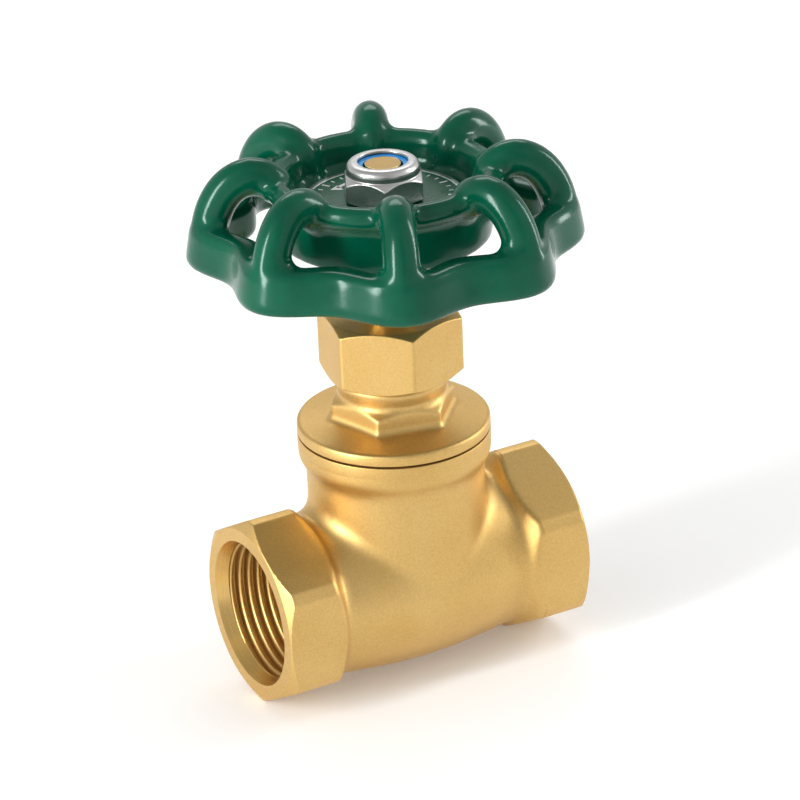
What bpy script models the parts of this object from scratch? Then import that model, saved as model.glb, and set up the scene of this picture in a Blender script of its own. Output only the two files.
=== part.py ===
"""Screw-down globe valve with two G 3/4 female sockets, an eight-lobed handwheel and a rising stem.

The origin is where the pipe axis (X) meets the stem axis (Z). The valve is modelled closed.
The lower end of the stem is trapped in the disc holder, so turning the wheel one turn lifts the
stem, the wheel and the disc together by one pitch of the stem thread.
"""

import math

import bmesh
import bpy
from mathutils import Matrix, Vector

MM = 0.001
PLAY = 0.3 * MM                      # clearance kept between neighbouring pieces
ROUND_STEPS = 36                     # facets of a large turned shape
SMALL_STEPS = 24                     # facets of a small turned shape
HALF_FACET = math.pi / ROUND_STEPS   # turns an envelope so that a corner meets a facet's middle

# --- body casting: run, sockets and neck -------------------------------------------------------
BODY_LENGTH = 60.2 * MM              # end face to end face
RUN_RADIUS = 15.9 * MM               # outside of the run, under the neck
RUN_END_RADIUS = 14.4 * MM           # outside of the run, where a socket begins
SOCKET_ACROSS_FLATS = 31.1 * MM
SOCKET_CORNER_RADIUS = 17.4 * MM     # the hexagon's corners are turned down to this
SOCKET_LENGTH = 12.2 * MM
SOCKET_END_CHAMFER = 1.2 * MM
SOCKET_THREAD_RADIUS = 12.06 * MM    # crests of the female pipe thread
SOCKET_THREAD_DEPTH = 13.2 * MM
SOCKET_MOUTH_RADIUS = 13.3 * MM
SOCKET_MOUTH_DEPTH = 1.6 * MM
PASSAGE_RADIUS = 11.2 * MM
NECK_RADIUS = 15.6 * MM
NECK_WALL = 2.6 * MM                 # round the bonnet's threaded spigot
COLLAR_OVERHANG = 1.3 * MM           # the collar stands this far out from the neck
COLLAR_HEIGHT = 4.6 * MM
CHAMBER_STEP = 1.6 * MM              # the chamber is this much narrower than the neck's bore
BRIDGE_THICKNESS = 4.0 * MM          # wall between the lower passage and the upper chamber
BRIDGE_BOTTOM = -1.6 * MM
PARTITION_WALL = 2.4 * MM            # upright walls that close the two passages off
SEAT_RIM_WIDTH = 1.6 * MM
SEAT_RIM_HEIGHT = 1.2 * MM

# --- disc and its fastenings -------------------------------------------------------------------
DISC_CLEARANCE = 1.1 * MM            # round the disc, inside the chamber
SEAT_OVERLAP = 1.2 * MM              # the seal reaches this far out over the seat's bore
SEAL_THICKNESS = 2.2 * MM
SEAL_CUP_DEPTH = 1.4 * MM
DISC_RIM = 0.8 * MM                  # wall of the cup that holds the seal
DISC_PLATE = 2.6 * MM
DISC_STUD_RADIUS = 2.5 * MM
DISC_BOSS_RADIUS = 7.2 * MM
SEAL_WASHER_CLEARANCE = 1.8 * MM     # round the washer, inside the seat's bore
SEAL_WASHER_THICKNESS = 0.8 * MM
SEAL_NUT_ACROSS_FLATS = 8.0 * MM
SEAL_NUT_HEIGHT = 2.4 * MM
RETAINER_THICKNESS = 1.6 * MM
BOSS_RIM = 0.8 * MM                  # boss above the retaining ring

# --- stem and its thread -----------------------------------------------------------------------
STEM_HEAD_RADIUS = 4.4 * MM
STEM_HEAD_HEIGHT = 2.0 * MM
STEM_NECK_RADIUS = 2.8 * MM
STEM_THREAD_RADIUS = 5.8 * MM
STEM_THREAD_LENGTH = 16.0 * MM
STEM_THREAD_PITCH = 2.5 * MM
STEM_TURNS = 3.0                     # turns from closed to fully open
STEM_RADIUS = 4.6 * MM               # polished length through the packing
STEM_SQUARE = 7.7 * MM               # across flats, inside the wheel's hub
STEM_TIP_RADIUS = 3.85 * MM
STEM_TIP_CHAMFER = 0.8 * MM
BACK_SEAT_CONE = 1.3 * MM

# --- bonnet and stuffing box -------------------------------------------------------------------
SPIGOT_LENGTH = 5.6 * MM             # threaded part of the bonnet inside the body neck
JOINT_GAP = 0.4 * MM                 # dark line between body collar and bonnet flange
FLANGE_THICKNESS = 2.0 * MM
FLANGE_RISE = 0.9 * MM               # the flange's top climbs this much towards the hexagon
BONNET_ACROSS_FLATS = 19.0 * MM
BONNET_HEX_HEIGHT = 4.0 * MM
BONNET_NECK_RADIUS = 10.2 * MM
STUFFING_BOX_RADIUS = 7.0 * MM
STUFFING_BOX_WALL = 2.0 * MM
BACK_SEAT_WEB = 0.9 * MM
GASKET_WIDTH = 1.0 * MM
GASKET_THICKNESS = 1.0 * MM

# --- packing -----------------------------------------------------------------------------------
SUPPORT_WASHER_THICKNESS = 0.6 * MM
PACKING_RING_HEIGHT = 1.1 * MM
PACKING_RING_NAMES = ("packing_ring_lower", "packing_ring_middle", "packing_ring_upper")
FOLLOWER_HEIGHT = 1.8 * MM
PACKING_NUT_ACROSS_FLATS = 22.2 * MM
PACKING_NUT_HEIGHT = 11.4 * MM
PACKING_NUT_ROOF = 1.9 * MM
PACKING_NUT_CHAMFER = 1.0 * MM

# --- handwheel and what is fixed on it ---------------------------------------------------------
WHEEL_CLEARANCE = 15.9 * MM          # packing nut to hub, room to lift the nut for repacking
WHEEL_RADIUS = 33.5 * MM             # outside of the lobes
LOBE_DEPTH = 4.0 * MM                # how far the rim draws in between two lobes
LOBE_COUNT = 8
LOBE_ANGLE = math.radians(21.3)
RIM_TUBE_RADIUS = 3.4 * MM
ARCH_TUBE_RADIUS = 3.0 * MM
RIM_DROP = 1.2 * MM                  # rim's middle line below the hub's underside
ARCH_TOP = 9.3 * MM                 # middle line of an arch above the hub's underside
RING_TUBE_RADIUS = 2.0 * MM
CUP_RADIUS = 16.3 * MM               # inside of the dished centre
CUP_WALL = 2.0 * MM
CUP_SKIRT = 1.2 * MM                 # the cup wall reaches this far below the hub
CUP_DEPTH = 6.0 * MM                 # top of the ring down to the floor
HUB_HEIGHT = 4.3 * MM
HUB_RADIUS = 7.5 * MM
CUP_FLOOR = 2.2 * MM                 # web between the hub and the cup wall
CUP_FOOT_ROUND = 0.9 * MM
NAMEPLATE_RADIUS = 13.9 * MM
NAMEPLATE_THICKNESS = 0.4 * MM
LOCK_NUT_ACROSS_FLATS = 13.0 * MM
LOCK_NUT_HEX_HEIGHT = 4.1 * MM
LOCK_NUT_HEIGHT = 6.4 * MM
LOCK_NUT_COLLAR_RADIUS = 6.25 * MM
LOCK_NUT_LIP = 0.5 * MM
INSERT_HEIGHT = 1.9 * MM
INSERT_WIDTH = 1.2 * MM

# --- turn of each hexagon about its own axis ---------------------------------------------------
SOCKET_HEX_ANGLE = math.radians(0.0)
BONNET_HEX_ANGLE = math.radians(-12.5)
PACKING_NUT_ANGLE = math.radians(19.4)
LOCK_NUT_ANGLE = math.radians(3.5)
SEAL_NUT_ANGLE = math.radians(0.0)

# --- levels up the stem axis, all worked out from the sizes above ------------------------------
COLLAR_RADIUS = NECK_RADIUS + COLLAR_OVERHANG
NECK_BORE = NECK_RADIUS - NECK_WALL
SPIGOT_RADIUS = NECK_BORE - PLAY
CHAMBER_RADIUS = NECK_BORE - CHAMBER_STEP
SEAL_RADIUS = CHAMBER_RADIUS - DISC_CLEARANCE - DISC_RIM - PLAY
SEAT_BORE_RADIUS = SEAL_RADIUS - SEAT_OVERLAP
SEAL_WASHER_RADIUS = SEAT_BORE_RADIUS - SEAL_WASHER_CLEARANCE
LIFT = STEM_TURNS * STEM_THREAD_PITCH
BRIDGE_TOP = BRIDGE_BOTTOM + BRIDGE_THICKNESS
SEAT_LEVEL = BRIDGE_TOP + SEAT_RIM_HEIGHT
SEAL_BOTTOM = SEAT_LEVEL + PLAY
SEAL_TOP = SEAL_BOTTOM + SEAL_THICKNESS
DISC_FACE = SEAL_TOP + PLAY
DISC_FLOOR = DISC_FACE + DISC_PLATE
STEM_HEAD_BOTTOM = DISC_FLOOR + PLAY
STEM_HEAD_TOP = STEM_HEAD_BOTTOM + STEM_HEAD_HEIGHT
RETAINER_BOTTOM = STEM_HEAD_TOP + PLAY
RETAINER_TOP = RETAINER_BOTTOM + RETAINER_THICKNESS
DISC_TOP = RETAINER_TOP + BOSS_RIM
STEM_THREAD_BOTTOM = DISC_TOP + 3 * PLAY
STEM_THREAD_TOP = STEM_THREAD_BOTTOM + STEM_THREAD_LENGTH
SPIGOT_BOTTOM = DISC_TOP + LIFT + 3 * PLAY
BODY_TOP = SPIGOT_BOTTOM + SPIGOT_LENGTH
FLANGE_BOTTOM = BODY_TOP + JOINT_GAP
BONNET_HEX_BOTTOM = FLANGE_BOTTOM + FLANGE_THICKNESS + FLANGE_RISE
BONNET_HEX_TOP = BONNET_HEX_BOTTOM + BONNET_HEX_HEIGHT
BACK_SEAT_LEVEL = STEM_THREAD_TOP + BACK_SEAT_CONE + LIFT + PLAY
BOX_FLOOR = BACK_SEAT_LEVEL + BACK_SEAT_WEB
SUPPORT_WASHER_BOTTOM = BOX_FLOOR + PLAY
PACKING_BOTTOM = SUPPORT_WASHER_BOTTOM + SUPPORT_WASHER_THICKNESS + PLAY
FOLLOWER_BOTTOM = PACKING_BOTTOM + len(PACKING_RING_NAMES) * (PACKING_RING_HEIGHT + PLAY)
FOLLOWER_TOP = FOLLOWER_BOTTOM + FOLLOWER_HEIGHT
BOX_TOP = (FOLLOWER_BOTTOM + FOLLOWER_TOP) / 2
PACKING_NUT_TOP = FOLLOWER_TOP + PLAY + PACKING_NUT_ROOF
PACKING_NUT_BOTTOM = PACKING_NUT_TOP - PACKING_NUT_HEIGHT
HUB_BOTTOM = PACKING_NUT_TOP + WHEEL_CLEARANCE
HUB_TOP = HUB_BOTTOM + HUB_HEIGHT
NAMEPLATE_BOTTOM = HUB_TOP + PLAY
LOCK_NUT_BOTTOM = NAMEPLATE_BOTTOM + NAMEPLATE_THICKNESS + PLAY
LOCK_NUT_TOP = LOCK_NUT_BOTTOM + LOCK_NUT_HEIGHT
INSERT_TOP = LOCK_NUT_TOP - LOCK_NUT_LIP - PLAY
STEM_TOP = INSERT_TOP - PLAY

# --- radii that follow from a fit --------------------------------------------------------------
BOX_OUTSIDE = STUFFING_BOX_RADIUS + STUFFING_BOX_WALL
STEM_BORE = STEM_RADIUS + PLAY
PACKING_OUTSIDE = STUFFING_BOX_RADIUS - PLAY
DISC_RADIUS = SEAL_RADIUS + PLAY + DISC_RIM
DISC_STUD_BORE = DISC_STUD_RADIUS + PLAY
HEAD_POCKET = STEM_HEAD_RADIUS + 2 * PLAY
GASKET_INSIDE = NECK_BORE + PLAY
GASKET_OUTSIDE = GASKET_INSIDE + GASKET_WIDTH
HUB_SQUARE = STEM_SQUARE + 2 * PLAY
LOCK_NUT_BORE = STEM_TIP_RADIUS + PLAY
INSERT_OUTSIDE = LOCK_NUT_BORE + INSERT_WIDTH
RING_PATH_RADIUS = CUP_RADIUS + RING_TUBE_RADIUS
RING_LEVEL = HUB_TOP + CUP_DEPTH - RING_TUBE_RADIUS
RIM_LEVEL = HUB_BOTTOM - RIM_DROP

COLOURS = {
    "brass_blasted": ((0.58, 0.36, 0.13), 0.42, 1.0),
    "brass_turned": ((0.74, 0.48, 0.17), 0.22, 1.0),
    "green_enamel": ((0.0, 0.11, 0.05), 0.12, 0.0),
    "printed_aluminium": ((0.02, 0.16, 0.08), 0.3, 0.6),
    "stainless": ((0.62, 0.62, 0.63), 0.26, 1.0),
    "nylon": ((0.01, 0.2, 0.62), 0.4, 0.0),
    "packing": ((0.82, 0.8, 0.74), 0.6, 0.0),
    "rubber": ((0.02, 0.02, 0.02), 0.7, 0.0),
}


# --- helpers -----------------------------------------------------------------------------------
def clear_scene():
    """Remove every object, so that the script starts from nothing."""
    for obj in list(bpy.data.objects):
        bpy.data.objects.remove(obj, do_unlink=True)


def make_collection(name):
    """Make a collection and link it to the scene."""
    collection = bpy.data.collections.new(name)
    bpy.context.scene.collection.children.link(collection)
    return collection


def dress(obj, finish):
    """Give an object its own material in one of the finishes."""
    colour, roughness, metallic = COLOURS[finish]
    material = bpy.data.materials.new(obj.name)
    material.use_nodes = True
    shader = material.node_tree.nodes["Principled BSDF"]
    shader.inputs["Base Color"].default_value = (*colour, 1.0)
    shader.inputs["Roughness"].default_value = roughness
    shader.inputs["Metallic"].default_value = metallic
    obj.data.materials.append(material)


def place(name, mesh, collection):
    """Make an object of a mesh; one among the cutters is drawn as a wire and never rendered."""
    obj = bpy.data.objects.new(name, mesh)
    collection.objects.link(obj)
    if collection.name == CUTTERS.name:
        obj.hide_render = True
        obj.display_type = "WIRE"
    return obj


def arc(centre, radius, start, end, steps):
    """Points of an arc in the profile plane; angles in degrees, 0 points outwards, 90 up."""
    points = []
    for i in range(steps + 1):
        angle = math.radians(start + (end - start) * i / steps)
        points.append((centre[0] + radius * math.cos(angle), centre[1] + radius * math.sin(angle)))
    return points


def turned(name, profile, collection, steps=ROUND_STEPS, along_x=False, spin=0.0):
    """Turn a profile of (radius, height) points, which runs down its outer side, about its axis.

    A profile that starts on the axis makes a solid, and any other is closed into a ring. Its
    first corner points along spin.
    """
    bm = bmesh.new()
    out = Vector((math.cos(spin), math.sin(spin), 0.0))
    up = Vector((0.0, 0.0, 1.0))
    verts = [bm.verts.new(radius * out + height * up) for radius, height in profile]
    for first, second in zip(verts, verts[1:]):
        bm.edges.new((first, second))
    if profile[0][0] > 0:
        bm.edges.new((verts[-1], verts[0]))
    mesh = bpy.data.meshes.new(name)
    bm.to_mesh(mesh)
    bm.free()
    obj = place(name, mesh, collection)
    if along_x:
        obj.rotation_euler = (0.0, math.pi / 2, 0.0)
    screw = obj.modifiers.new("Turn", "SCREW")
    screw.axis = "Z"
    screw.angle = 2 * math.pi
    screw.steps = steps
    screw.render_steps = steps
    screw.use_merge_vertices = True
    screw.merge_threshold = 0.00001
    screw.use_smooth_shade = True
    return obj


def hexagon(name, across_flats, bottom, top, turn, collection):
    """A hexagonal prism; at no turn it has two flats that face along Y."""
    bm = bmesh.new()
    corner = across_flats / math.sqrt(3)
    bmesh.ops.create_cone(bm, cap_ends=True, segments=6, radius1=corner, radius2=corner,
                          depth=top - bottom)
    flats_to_y = Matrix.Rotation(math.pi / 6 + turn, 4, "Z")
    bmesh.ops.transform(bm, verts=bm.verts, matrix=flats_to_y)
    bmesh.ops.translate(bm, verts=bm.verts, vec=(0.0, 0.0, (top + bottom) / 2))
    mesh = bpy.data.meshes.new(name)
    bm.to_mesh(mesh)
    bm.free()
    return place(name, mesh, collection)


def box(name, low, high, collection, turn=0.0):
    """A box between two corners, turned about the stem axis."""
    bm = bmesh.new()
    bmesh.ops.create_cube(bm, size=1.0)
    size = Vector(high) - Vector(low)
    middle = (Vector(high) + Vector(low)) / 2
    bmesh.ops.scale(bm, verts=bm.verts, vec=size)
    bmesh.ops.translate(bm, verts=bm.verts, vec=middle)
    bmesh.ops.transform(bm, verts=bm.verts, matrix=Matrix.Rotation(turn, 4, "Z"))
    mesh = bpy.data.meshes.new(name)
    bm.to_mesh(mesh)
    bm.free()
    return place(name, mesh, collection)


def boolean(obj, operation, other):
    """Join, cut or intersect an object with another, which stays as it is."""
    modifier = obj.modifiers.new(f"{operation.title()} {other.name}", "BOOLEAN")
    modifier.operation = operation
    modifier.object = other
    modifier.solver = "EXACT"


def nut_blank(name, across_flats, bottom, top, turn, chamfers, collection):
    """A hexagon whose corners are turned off at the ends; chamfers gives bottom and top."""
    corner = across_flats / math.sqrt(3)
    flat = across_flats / 2
    low, high = chamfers
    profile = [(0.0, top)]
    if high > 0:
        profile += [(flat - 0.1 * MM, top), (corner + PLAY, top - high)]
    else:
        profile += [(corner + PLAY, top)]
    if low > 0:
        profile += [(corner + PLAY, bottom + low), (flat - 0.1 * MM, bottom)]
    else:
        profile += [(corner + PLAY, bottom)]
    profile += [(0.0, bottom)]
    blank = hexagon(name, across_flats, bottom - PLAY, top + PLAY, turn, collection)
    envelope = turned(f"{name}_envelope", profile, CUTTERS, spin=turn + HALF_FACET)
    boolean(blank, "INTERSECT", envelope)
    return blank


def tube(name, points, radius, cyclic, collection):
    """A round tube along points, made a closed mesh that can be joined to others."""
    curve = bpy.data.curves.new(name, "CURVE")
    curve.dimensions = "3D"
    curve.bevel_depth = radius
    curve.bevel_resolution = 2
    curve.use_fill_caps = not cyclic
    spline = curve.splines.new("POLY")
    spline.points.add(len(points) - 1)
    for point, position in zip(spline.points, points):
        point.co = (*position, 1.0)
    spline.use_cyclic_u = cyclic
    guide = bpy.data.objects.new(name, curve)
    CUTTERS.objects.link(guide)
    bpy.context.view_layer.update()
    mesh = bpy.data.meshes.new_from_object(guide.evaluated_get(bpy.context.evaluated_depsgraph_get()))
    bpy.data.objects.remove(guide, do_unlink=True)
    bm = bmesh.new()
    bm.from_mesh(mesh)
    bmesh.ops.remove_doubles(bm, verts=bm.verts, dist=0.00001)
    bmesh.ops.recalc_face_normals(bm, faces=bm.faces)
    bm.to_mesh(mesh)
    bm.free()
    return place(name, mesh, collection)


def shade(obj):
    """Smooth shading, with the edges of a machined piece kept sharp."""
    if obj.data.polygons:
        obj.data.shade_smooth()
        obj.data.set_sharp_from_angle(angle=math.radians(35))


# --- body --------------------------------------------------------------------------------------
def passage(name, radius, start, end, floor=None, ceiling=None):
    """A length of the round flow passage along X, cut off level below floor or above ceiling."""
    bm = bmesh.new()
    bmesh.ops.create_cone(bm, cap_ends=True, segments=ROUND_STEPS, radius1=radius, radius2=radius,
                          depth=end - start)
    bmesh.ops.transform(bm, verts=bm.verts, matrix=Matrix.Rotation(math.pi / 2, 4, "Y"))
    bmesh.ops.translate(bm, verts=bm.verts, vec=((start + end) / 2, 0.0, 0.0))
    for level, direction in ((floor, -1.0), (ceiling, 1.0)):
        if level is None:
            continue
        geometry = bm.verts[:] + bm.edges[:] + bm.faces[:]
        cut = bmesh.ops.bisect_plane(bm, geom=geometry, plane_co=(0.0, 0.0, level),
                                     plane_no=(0.0, 0.0, direction), clear_outer=True)
        rim = [item for item in cut["geom_cut"] if isinstance(item, bmesh.types.BMEdge)]
        bmesh.ops.contextual_create(bm, geom=rim)
    mesh = bpy.data.meshes.new(name)
    bm.to_mesh(mesh)
    bm.free()
    return place(name, mesh, CUTTERS)


def run_profile():
    """Outside of the run: a shallow barrel between the sockets, solid to the axis."""
    half = BODY_LENGTH / 2 - SOCKET_LENGTH / 2
    barrel = half - SOCKET_LENGTH / 2
    points = [(0.0, half), (RUN_END_RADIUS, half)]
    steps = 6
    for i in range(steps + 1):
        across = 1.0 - 2.0 * i / steps
        swell = (RUN_RADIUS - RUN_END_RADIUS) * math.cos(across * math.pi / 2)
        points.append((RUN_END_RADIUS + swell, across * barrel))
    points += [(RUN_END_RADIUS, -half), (0.0, -half)]
    return points


def socket_profile():
    """What the socket's hexagon is turned down to: an end chamfer and a sloping shoulder."""
    end = BODY_LENGTH / 2
    shoulder = SOCKET_CORNER_RADIUS - RUN_END_RADIUS
    return [
        (0.0, end),
        (SOCKET_CORNER_RADIUS - 1.7 * SOCKET_END_CHAMFER, end),
        (SOCKET_CORNER_RADIUS, end - SOCKET_END_CHAMFER),
        (SOCKET_CORNER_RADIUS, end - SOCKET_LENGTH + 0.8 * shoulder),
        (RUN_END_RADIUS - PLAY, end - SOCKET_LENGTH),
        (0.0, end - SOCKET_LENGTH),
    ]


def neck_profile():
    """Outside of the neck and its collar, from the middle of the run up to the bonnet joint."""
    round_over = COLLAR_RADIUS - NECK_RADIUS
    collar_bottom = BODY_TOP - COLLAR_HEIGHT
    under = arc((NECK_RADIUS, collar_bottom + round_over), round_over, 0, -90, 3)
    return [(0.0, BODY_TOP), (COLLAR_RADIUS, BODY_TOP)] + under + [(NECK_RADIUS, 0.0), (0.0, 0.0)]


def socket_bore_profile():
    """The threaded socket with its countersunk mouth, open past the end face."""
    end = BODY_LENGTH / 2
    return [
        (0.0, end + MM),
        (SOCKET_MOUTH_RADIUS, end + MM),
        (SOCKET_MOUTH_RADIUS, end - SOCKET_MOUTH_DEPTH / 2),
        (SOCKET_THREAD_RADIUS, end - SOCKET_MOUTH_DEPTH),
        (SOCKET_THREAD_RADIUS, end - SOCKET_THREAD_DEPTH),
        (0.0, end - SOCKET_THREAD_DEPTH),
    ]


def chamber_profile():
    """The hollow above the bridge, with the raised seat rim left standing in its floor."""
    seat_outside = SEAT_BORE_RADIUS + SEAT_RIM_WIDTH
    recess = BODY_TOP - GASKET_THICKNESS + JOINT_GAP - 2 * PLAY
    return [
        (0.0, BODY_TOP + MM),
        (GASKET_OUTSIDE + PLAY, BODY_TOP + MM),
        (GASKET_OUTSIDE + PLAY, recess),
        (NECK_BORE, recess),
        (NECK_BORE, SPIGOT_BOTTOM - PLAY),
        (CHAMBER_RADIUS, SPIGOT_BOTTOM - PLAY - (NECK_BORE - CHAMBER_RADIUS)),
        (CHAMBER_RADIUS, BRIDGE_TOP),
        (seat_outside, BRIDGE_TOP),
        (seat_outside, SEAT_LEVEL),
        (0.0, SEAT_LEVEL),
    ]


def build_body():
    """The cast body: run, two hexagonal sockets and neck, hollowed by the S-shaped flow path."""
    body = turned("body", run_profile(), PARTS, along_x=True)
    end = BODY_LENGTH / 2
    for side, name in ((-1.0, "inlet"), (1.0, "outlet")):
        socket = hexagon(f"{name}_socket", SOCKET_ACROSS_FLATS, end - SOCKET_LENGTH - PLAY,
                         end + PLAY, SOCKET_HEX_ANGLE, CUTTERS)
        envelope = turned(f"{name}_socket_envelope", socket_profile(), CUTTERS,
                          spin=SOCKET_HEX_ANGLE + HALF_FACET)
        bore = turned(f"{name}_socket_bore", socket_bore_profile(), CUTTERS)
        for piece in (socket, envelope, bore):
            piece.rotation_euler = (0.0, side * math.pi / 2, 0.0)
        boolean(socket, "INTERSECT", envelope)
        boolean(body, "UNION", socket)
    boolean(body, "UNION", turned("neck", neck_profile(), CUTTERS))

    bore_end = end - SOCKET_THREAD_DEPTH
    inlet_wall = -(CHAMBER_RADIUS + PARTITION_WALL)
    lower_end = CHAMBER_RADIUS - PARTITION_WALL / 2
    outlet_wall = lower_end + PARTITION_WALL
    duct_radius = PASSAGE_RADIUS - PLAY
    cutters = [
        turned("chamber", chamber_profile(), CUTTERS),
        bpy.data.objects["inlet_socket_bore"],
        bpy.data.objects["outlet_socket_bore"],
        passage("inlet_passage", PASSAGE_RADIUS, -bore_end - MM, inlet_wall),
        passage("lower_passage", duct_radius, inlet_wall - MM, lower_end, ceiling=BRIDGE_BOTTOM),
        passage("outlet_passage", PASSAGE_RADIUS, outlet_wall, bore_end + MM),
        passage("upper_passage", duct_radius, CHAMBER_RADIUS / 2, outlet_wall + MM,
                floor=SEAT_LEVEL + PLAY),
        turned("seat_bore", [(0.0, SEAT_LEVEL + MM), (SEAT_BORE_RADIUS, SEAT_LEVEL + MM),
                             (SEAT_BORE_RADIUS, BRIDGE_BOTTOM - MM), (0.0, BRIDGE_BOTTOM - MM)],
               CUTTERS),
    ]
    for cutter in cutters:
        boolean(body, "DIFFERENCE", cutter)
    dress(body, "brass_blasted")


# --- bonnet ------------------------------------------------------------------------------------
def bonnet_profile():
    """Outside of the bonnet, from the stuffing box down to the end of its threaded spigot."""
    flange_top = FLANGE_BOTTOM + FLANGE_THICKNESS
    edge = FLANGE_THICKNESS / 3
    hex_corner = BONNET_ACROSS_FLATS / math.sqrt(3)
    return [
        (0.0, BOX_TOP),
        (BOX_OUTSIDE, BOX_TOP),
        (BOX_OUTSIDE, PACKING_NUT_BOTTOM - PLAY),
        (BONNET_NECK_RADIUS, PACKING_NUT_BOTTOM - PLAY),
        (BONNET_NECK_RADIUS, BONNET_HEX_BOTTOM + FLANGE_RISE / 2),
        (hex_corner + MM / 2, BONNET_HEX_BOTTOM),
        (COLLAR_RADIUS - edge, flange_top),
        (COLLAR_RADIUS, flange_top - edge),
        (COLLAR_RADIUS, FLANGE_BOTTOM),
        (SPIGOT_RADIUS, FLANGE_BOTTOM),
        (SPIGOT_RADIUS, SPIGOT_BOTTOM + MM / 2),
        (SPIGOT_RADIUS - MM / 2, SPIGOT_BOTTOM),
        (0.0, SPIGOT_BOTTOM),
    ]


def bonnet_bore_profile():
    """Stuffing box, stem hole with its back seat, and the bore for the stem thread."""
    thread_bore = STEM_THREAD_RADIUS + PLAY
    seat_slope = thread_bore - STEM_BORE
    return [
        (0.0, BOX_TOP + MM),
        (STUFFING_BOX_RADIUS, BOX_TOP + MM),
        (STUFFING_BOX_RADIUS, BOX_FLOOR),
        (STEM_BORE, BOX_FLOOR),
        (STEM_BORE, BACK_SEAT_LEVEL),
        (thread_bore, BACK_SEAT_LEVEL - seat_slope),
        (thread_bore, SPIGOT_BOTTOM - MM),
        (0.0, SPIGOT_BOTTOM - MM),
    ]


def build_bonnet():
    """The screwed bonnet with its flange, spanner hexagon and stuffing box, and its gasket."""
    bonnet = turned("bonnet", bonnet_profile(), PARTS)
    hexagonal = nut_blank("bonnet_hexagon", BONNET_ACROSS_FLATS, BONNET_HEX_BOTTOM - FLANGE_RISE / 2,
                          BONNET_HEX_TOP, BONNET_HEX_ANGLE, (0.0, MM), CUTTERS)
    boolean(bonnet, "UNION", hexagonal)
    boolean(bonnet, "DIFFERENCE", turned("bonnet_bore", bonnet_bore_profile(), CUTTERS))
    dress(bonnet, "brass_blasted")
    gasket_top = FLANGE_BOTTOM - PLAY
    ring("bonnet_gasket", GASKET_INSIDE, GASKET_OUTSIDE, gasket_top - GASKET_THICKNESS, gasket_top,
         "rubber", ROUND_STEPS)


def ring(name, inside, outside, bottom, top, finish, steps=SMALL_STEPS):
    """A flat ring: a washer, a gasket or a packing ring."""
    profile = [(inside, top), (outside, top), (outside, bottom), (inside, bottom)]
    piece = turned(name, profile, PARTS, steps)
    dress(piece, finish)
    return piece


# --- packing -----------------------------------------------------------------------------------
def build_packing():
    """Support washer, packing rings, gland follower and the packing nut that squeezes them."""
    ring("packing_support_washer", STEM_BORE, PACKING_OUTSIDE, SUPPORT_WASHER_BOTTOM,
         SUPPORT_WASHER_BOTTOM + SUPPORT_WASHER_THICKNESS, "brass_turned")
    for i, name in enumerate(PACKING_RING_NAMES):
        bottom = PACKING_BOTTOM + i * (PACKING_RING_HEIGHT + PLAY)
        ring(name, STEM_BORE, PACKING_OUTSIDE, bottom, bottom + PACKING_RING_HEIGHT, "packing")
    ring("gland_follower", STEM_BORE, PACKING_OUTSIDE, FOLLOWER_BOTTOM, FOLLOWER_TOP, "brass_turned")

    chamfers = (PACKING_NUT_CHAMFER, PACKING_NUT_CHAMFER)
    nut = nut_blank("packing_nut", PACKING_NUT_ACROSS_FLATS, PACKING_NUT_BOTTOM, PACKING_NUT_TOP,
                    PACKING_NUT_ANGLE, chamfers, PARTS)
    dish = 0.6 * MM
    bore = [
        (0.0, PACKING_NUT_TOP + MM),
        (STEM_BORE + dish + MM, PACKING_NUT_TOP + MM),
        (STEM_BORE + dish, PACKING_NUT_TOP),
        (STEM_BORE + dish / 3, PACKING_NUT_TOP - dish),
        (STEM_BORE + dish / 3, FOLLOWER_TOP + PLAY),
        (BOX_OUTSIDE + PLAY, FOLLOWER_TOP + PLAY),
        (BOX_OUTSIDE + PLAY, PACKING_NUT_BOTTOM - MM),
        (0.0, PACKING_NUT_BOTTOM - MM),
    ]
    boolean(nut, "DIFFERENCE", turned("packing_nut_bore", bore, CUTTERS, SMALL_STEPS))
    dress(nut, "brass_blasted")


# --- disc --------------------------------------------------------------------------------------
def disc_holder_profile():
    """Pocket for the stem head above, cup for the seal below, and the stud that holds the seal."""
    nut_bottom = SEAL_BOTTOM - 2 * PLAY - SEAL_WASHER_THICKNESS - SEAL_NUT_HEIGHT
    return [
        (0.0, DISC_FLOOR),
        (HEAD_POCKET, DISC_FLOOR),
        (HEAD_POCKET, DISC_TOP),
        (DISC_BOSS_RADIUS, DISC_TOP),
        (DISC_BOSS_RADIUS, DISC_FLOOR + DISC_RIM),
        (DISC_RADIUS, DISC_FLOOR),
        (DISC_RADIUS, DISC_FACE - SEAL_CUP_DEPTH),
        (DISC_RADIUS - DISC_RIM, DISC_FACE - SEAL_CUP_DEPTH),
        (DISC_RADIUS - DISC_RIM, DISC_FACE),
        (DISC_STUD_RADIUS, DISC_FACE),
        (DISC_STUD_RADIUS, nut_bottom - MM / 2),
        (0.0, nut_bottom - MM / 2),
    ]


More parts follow.
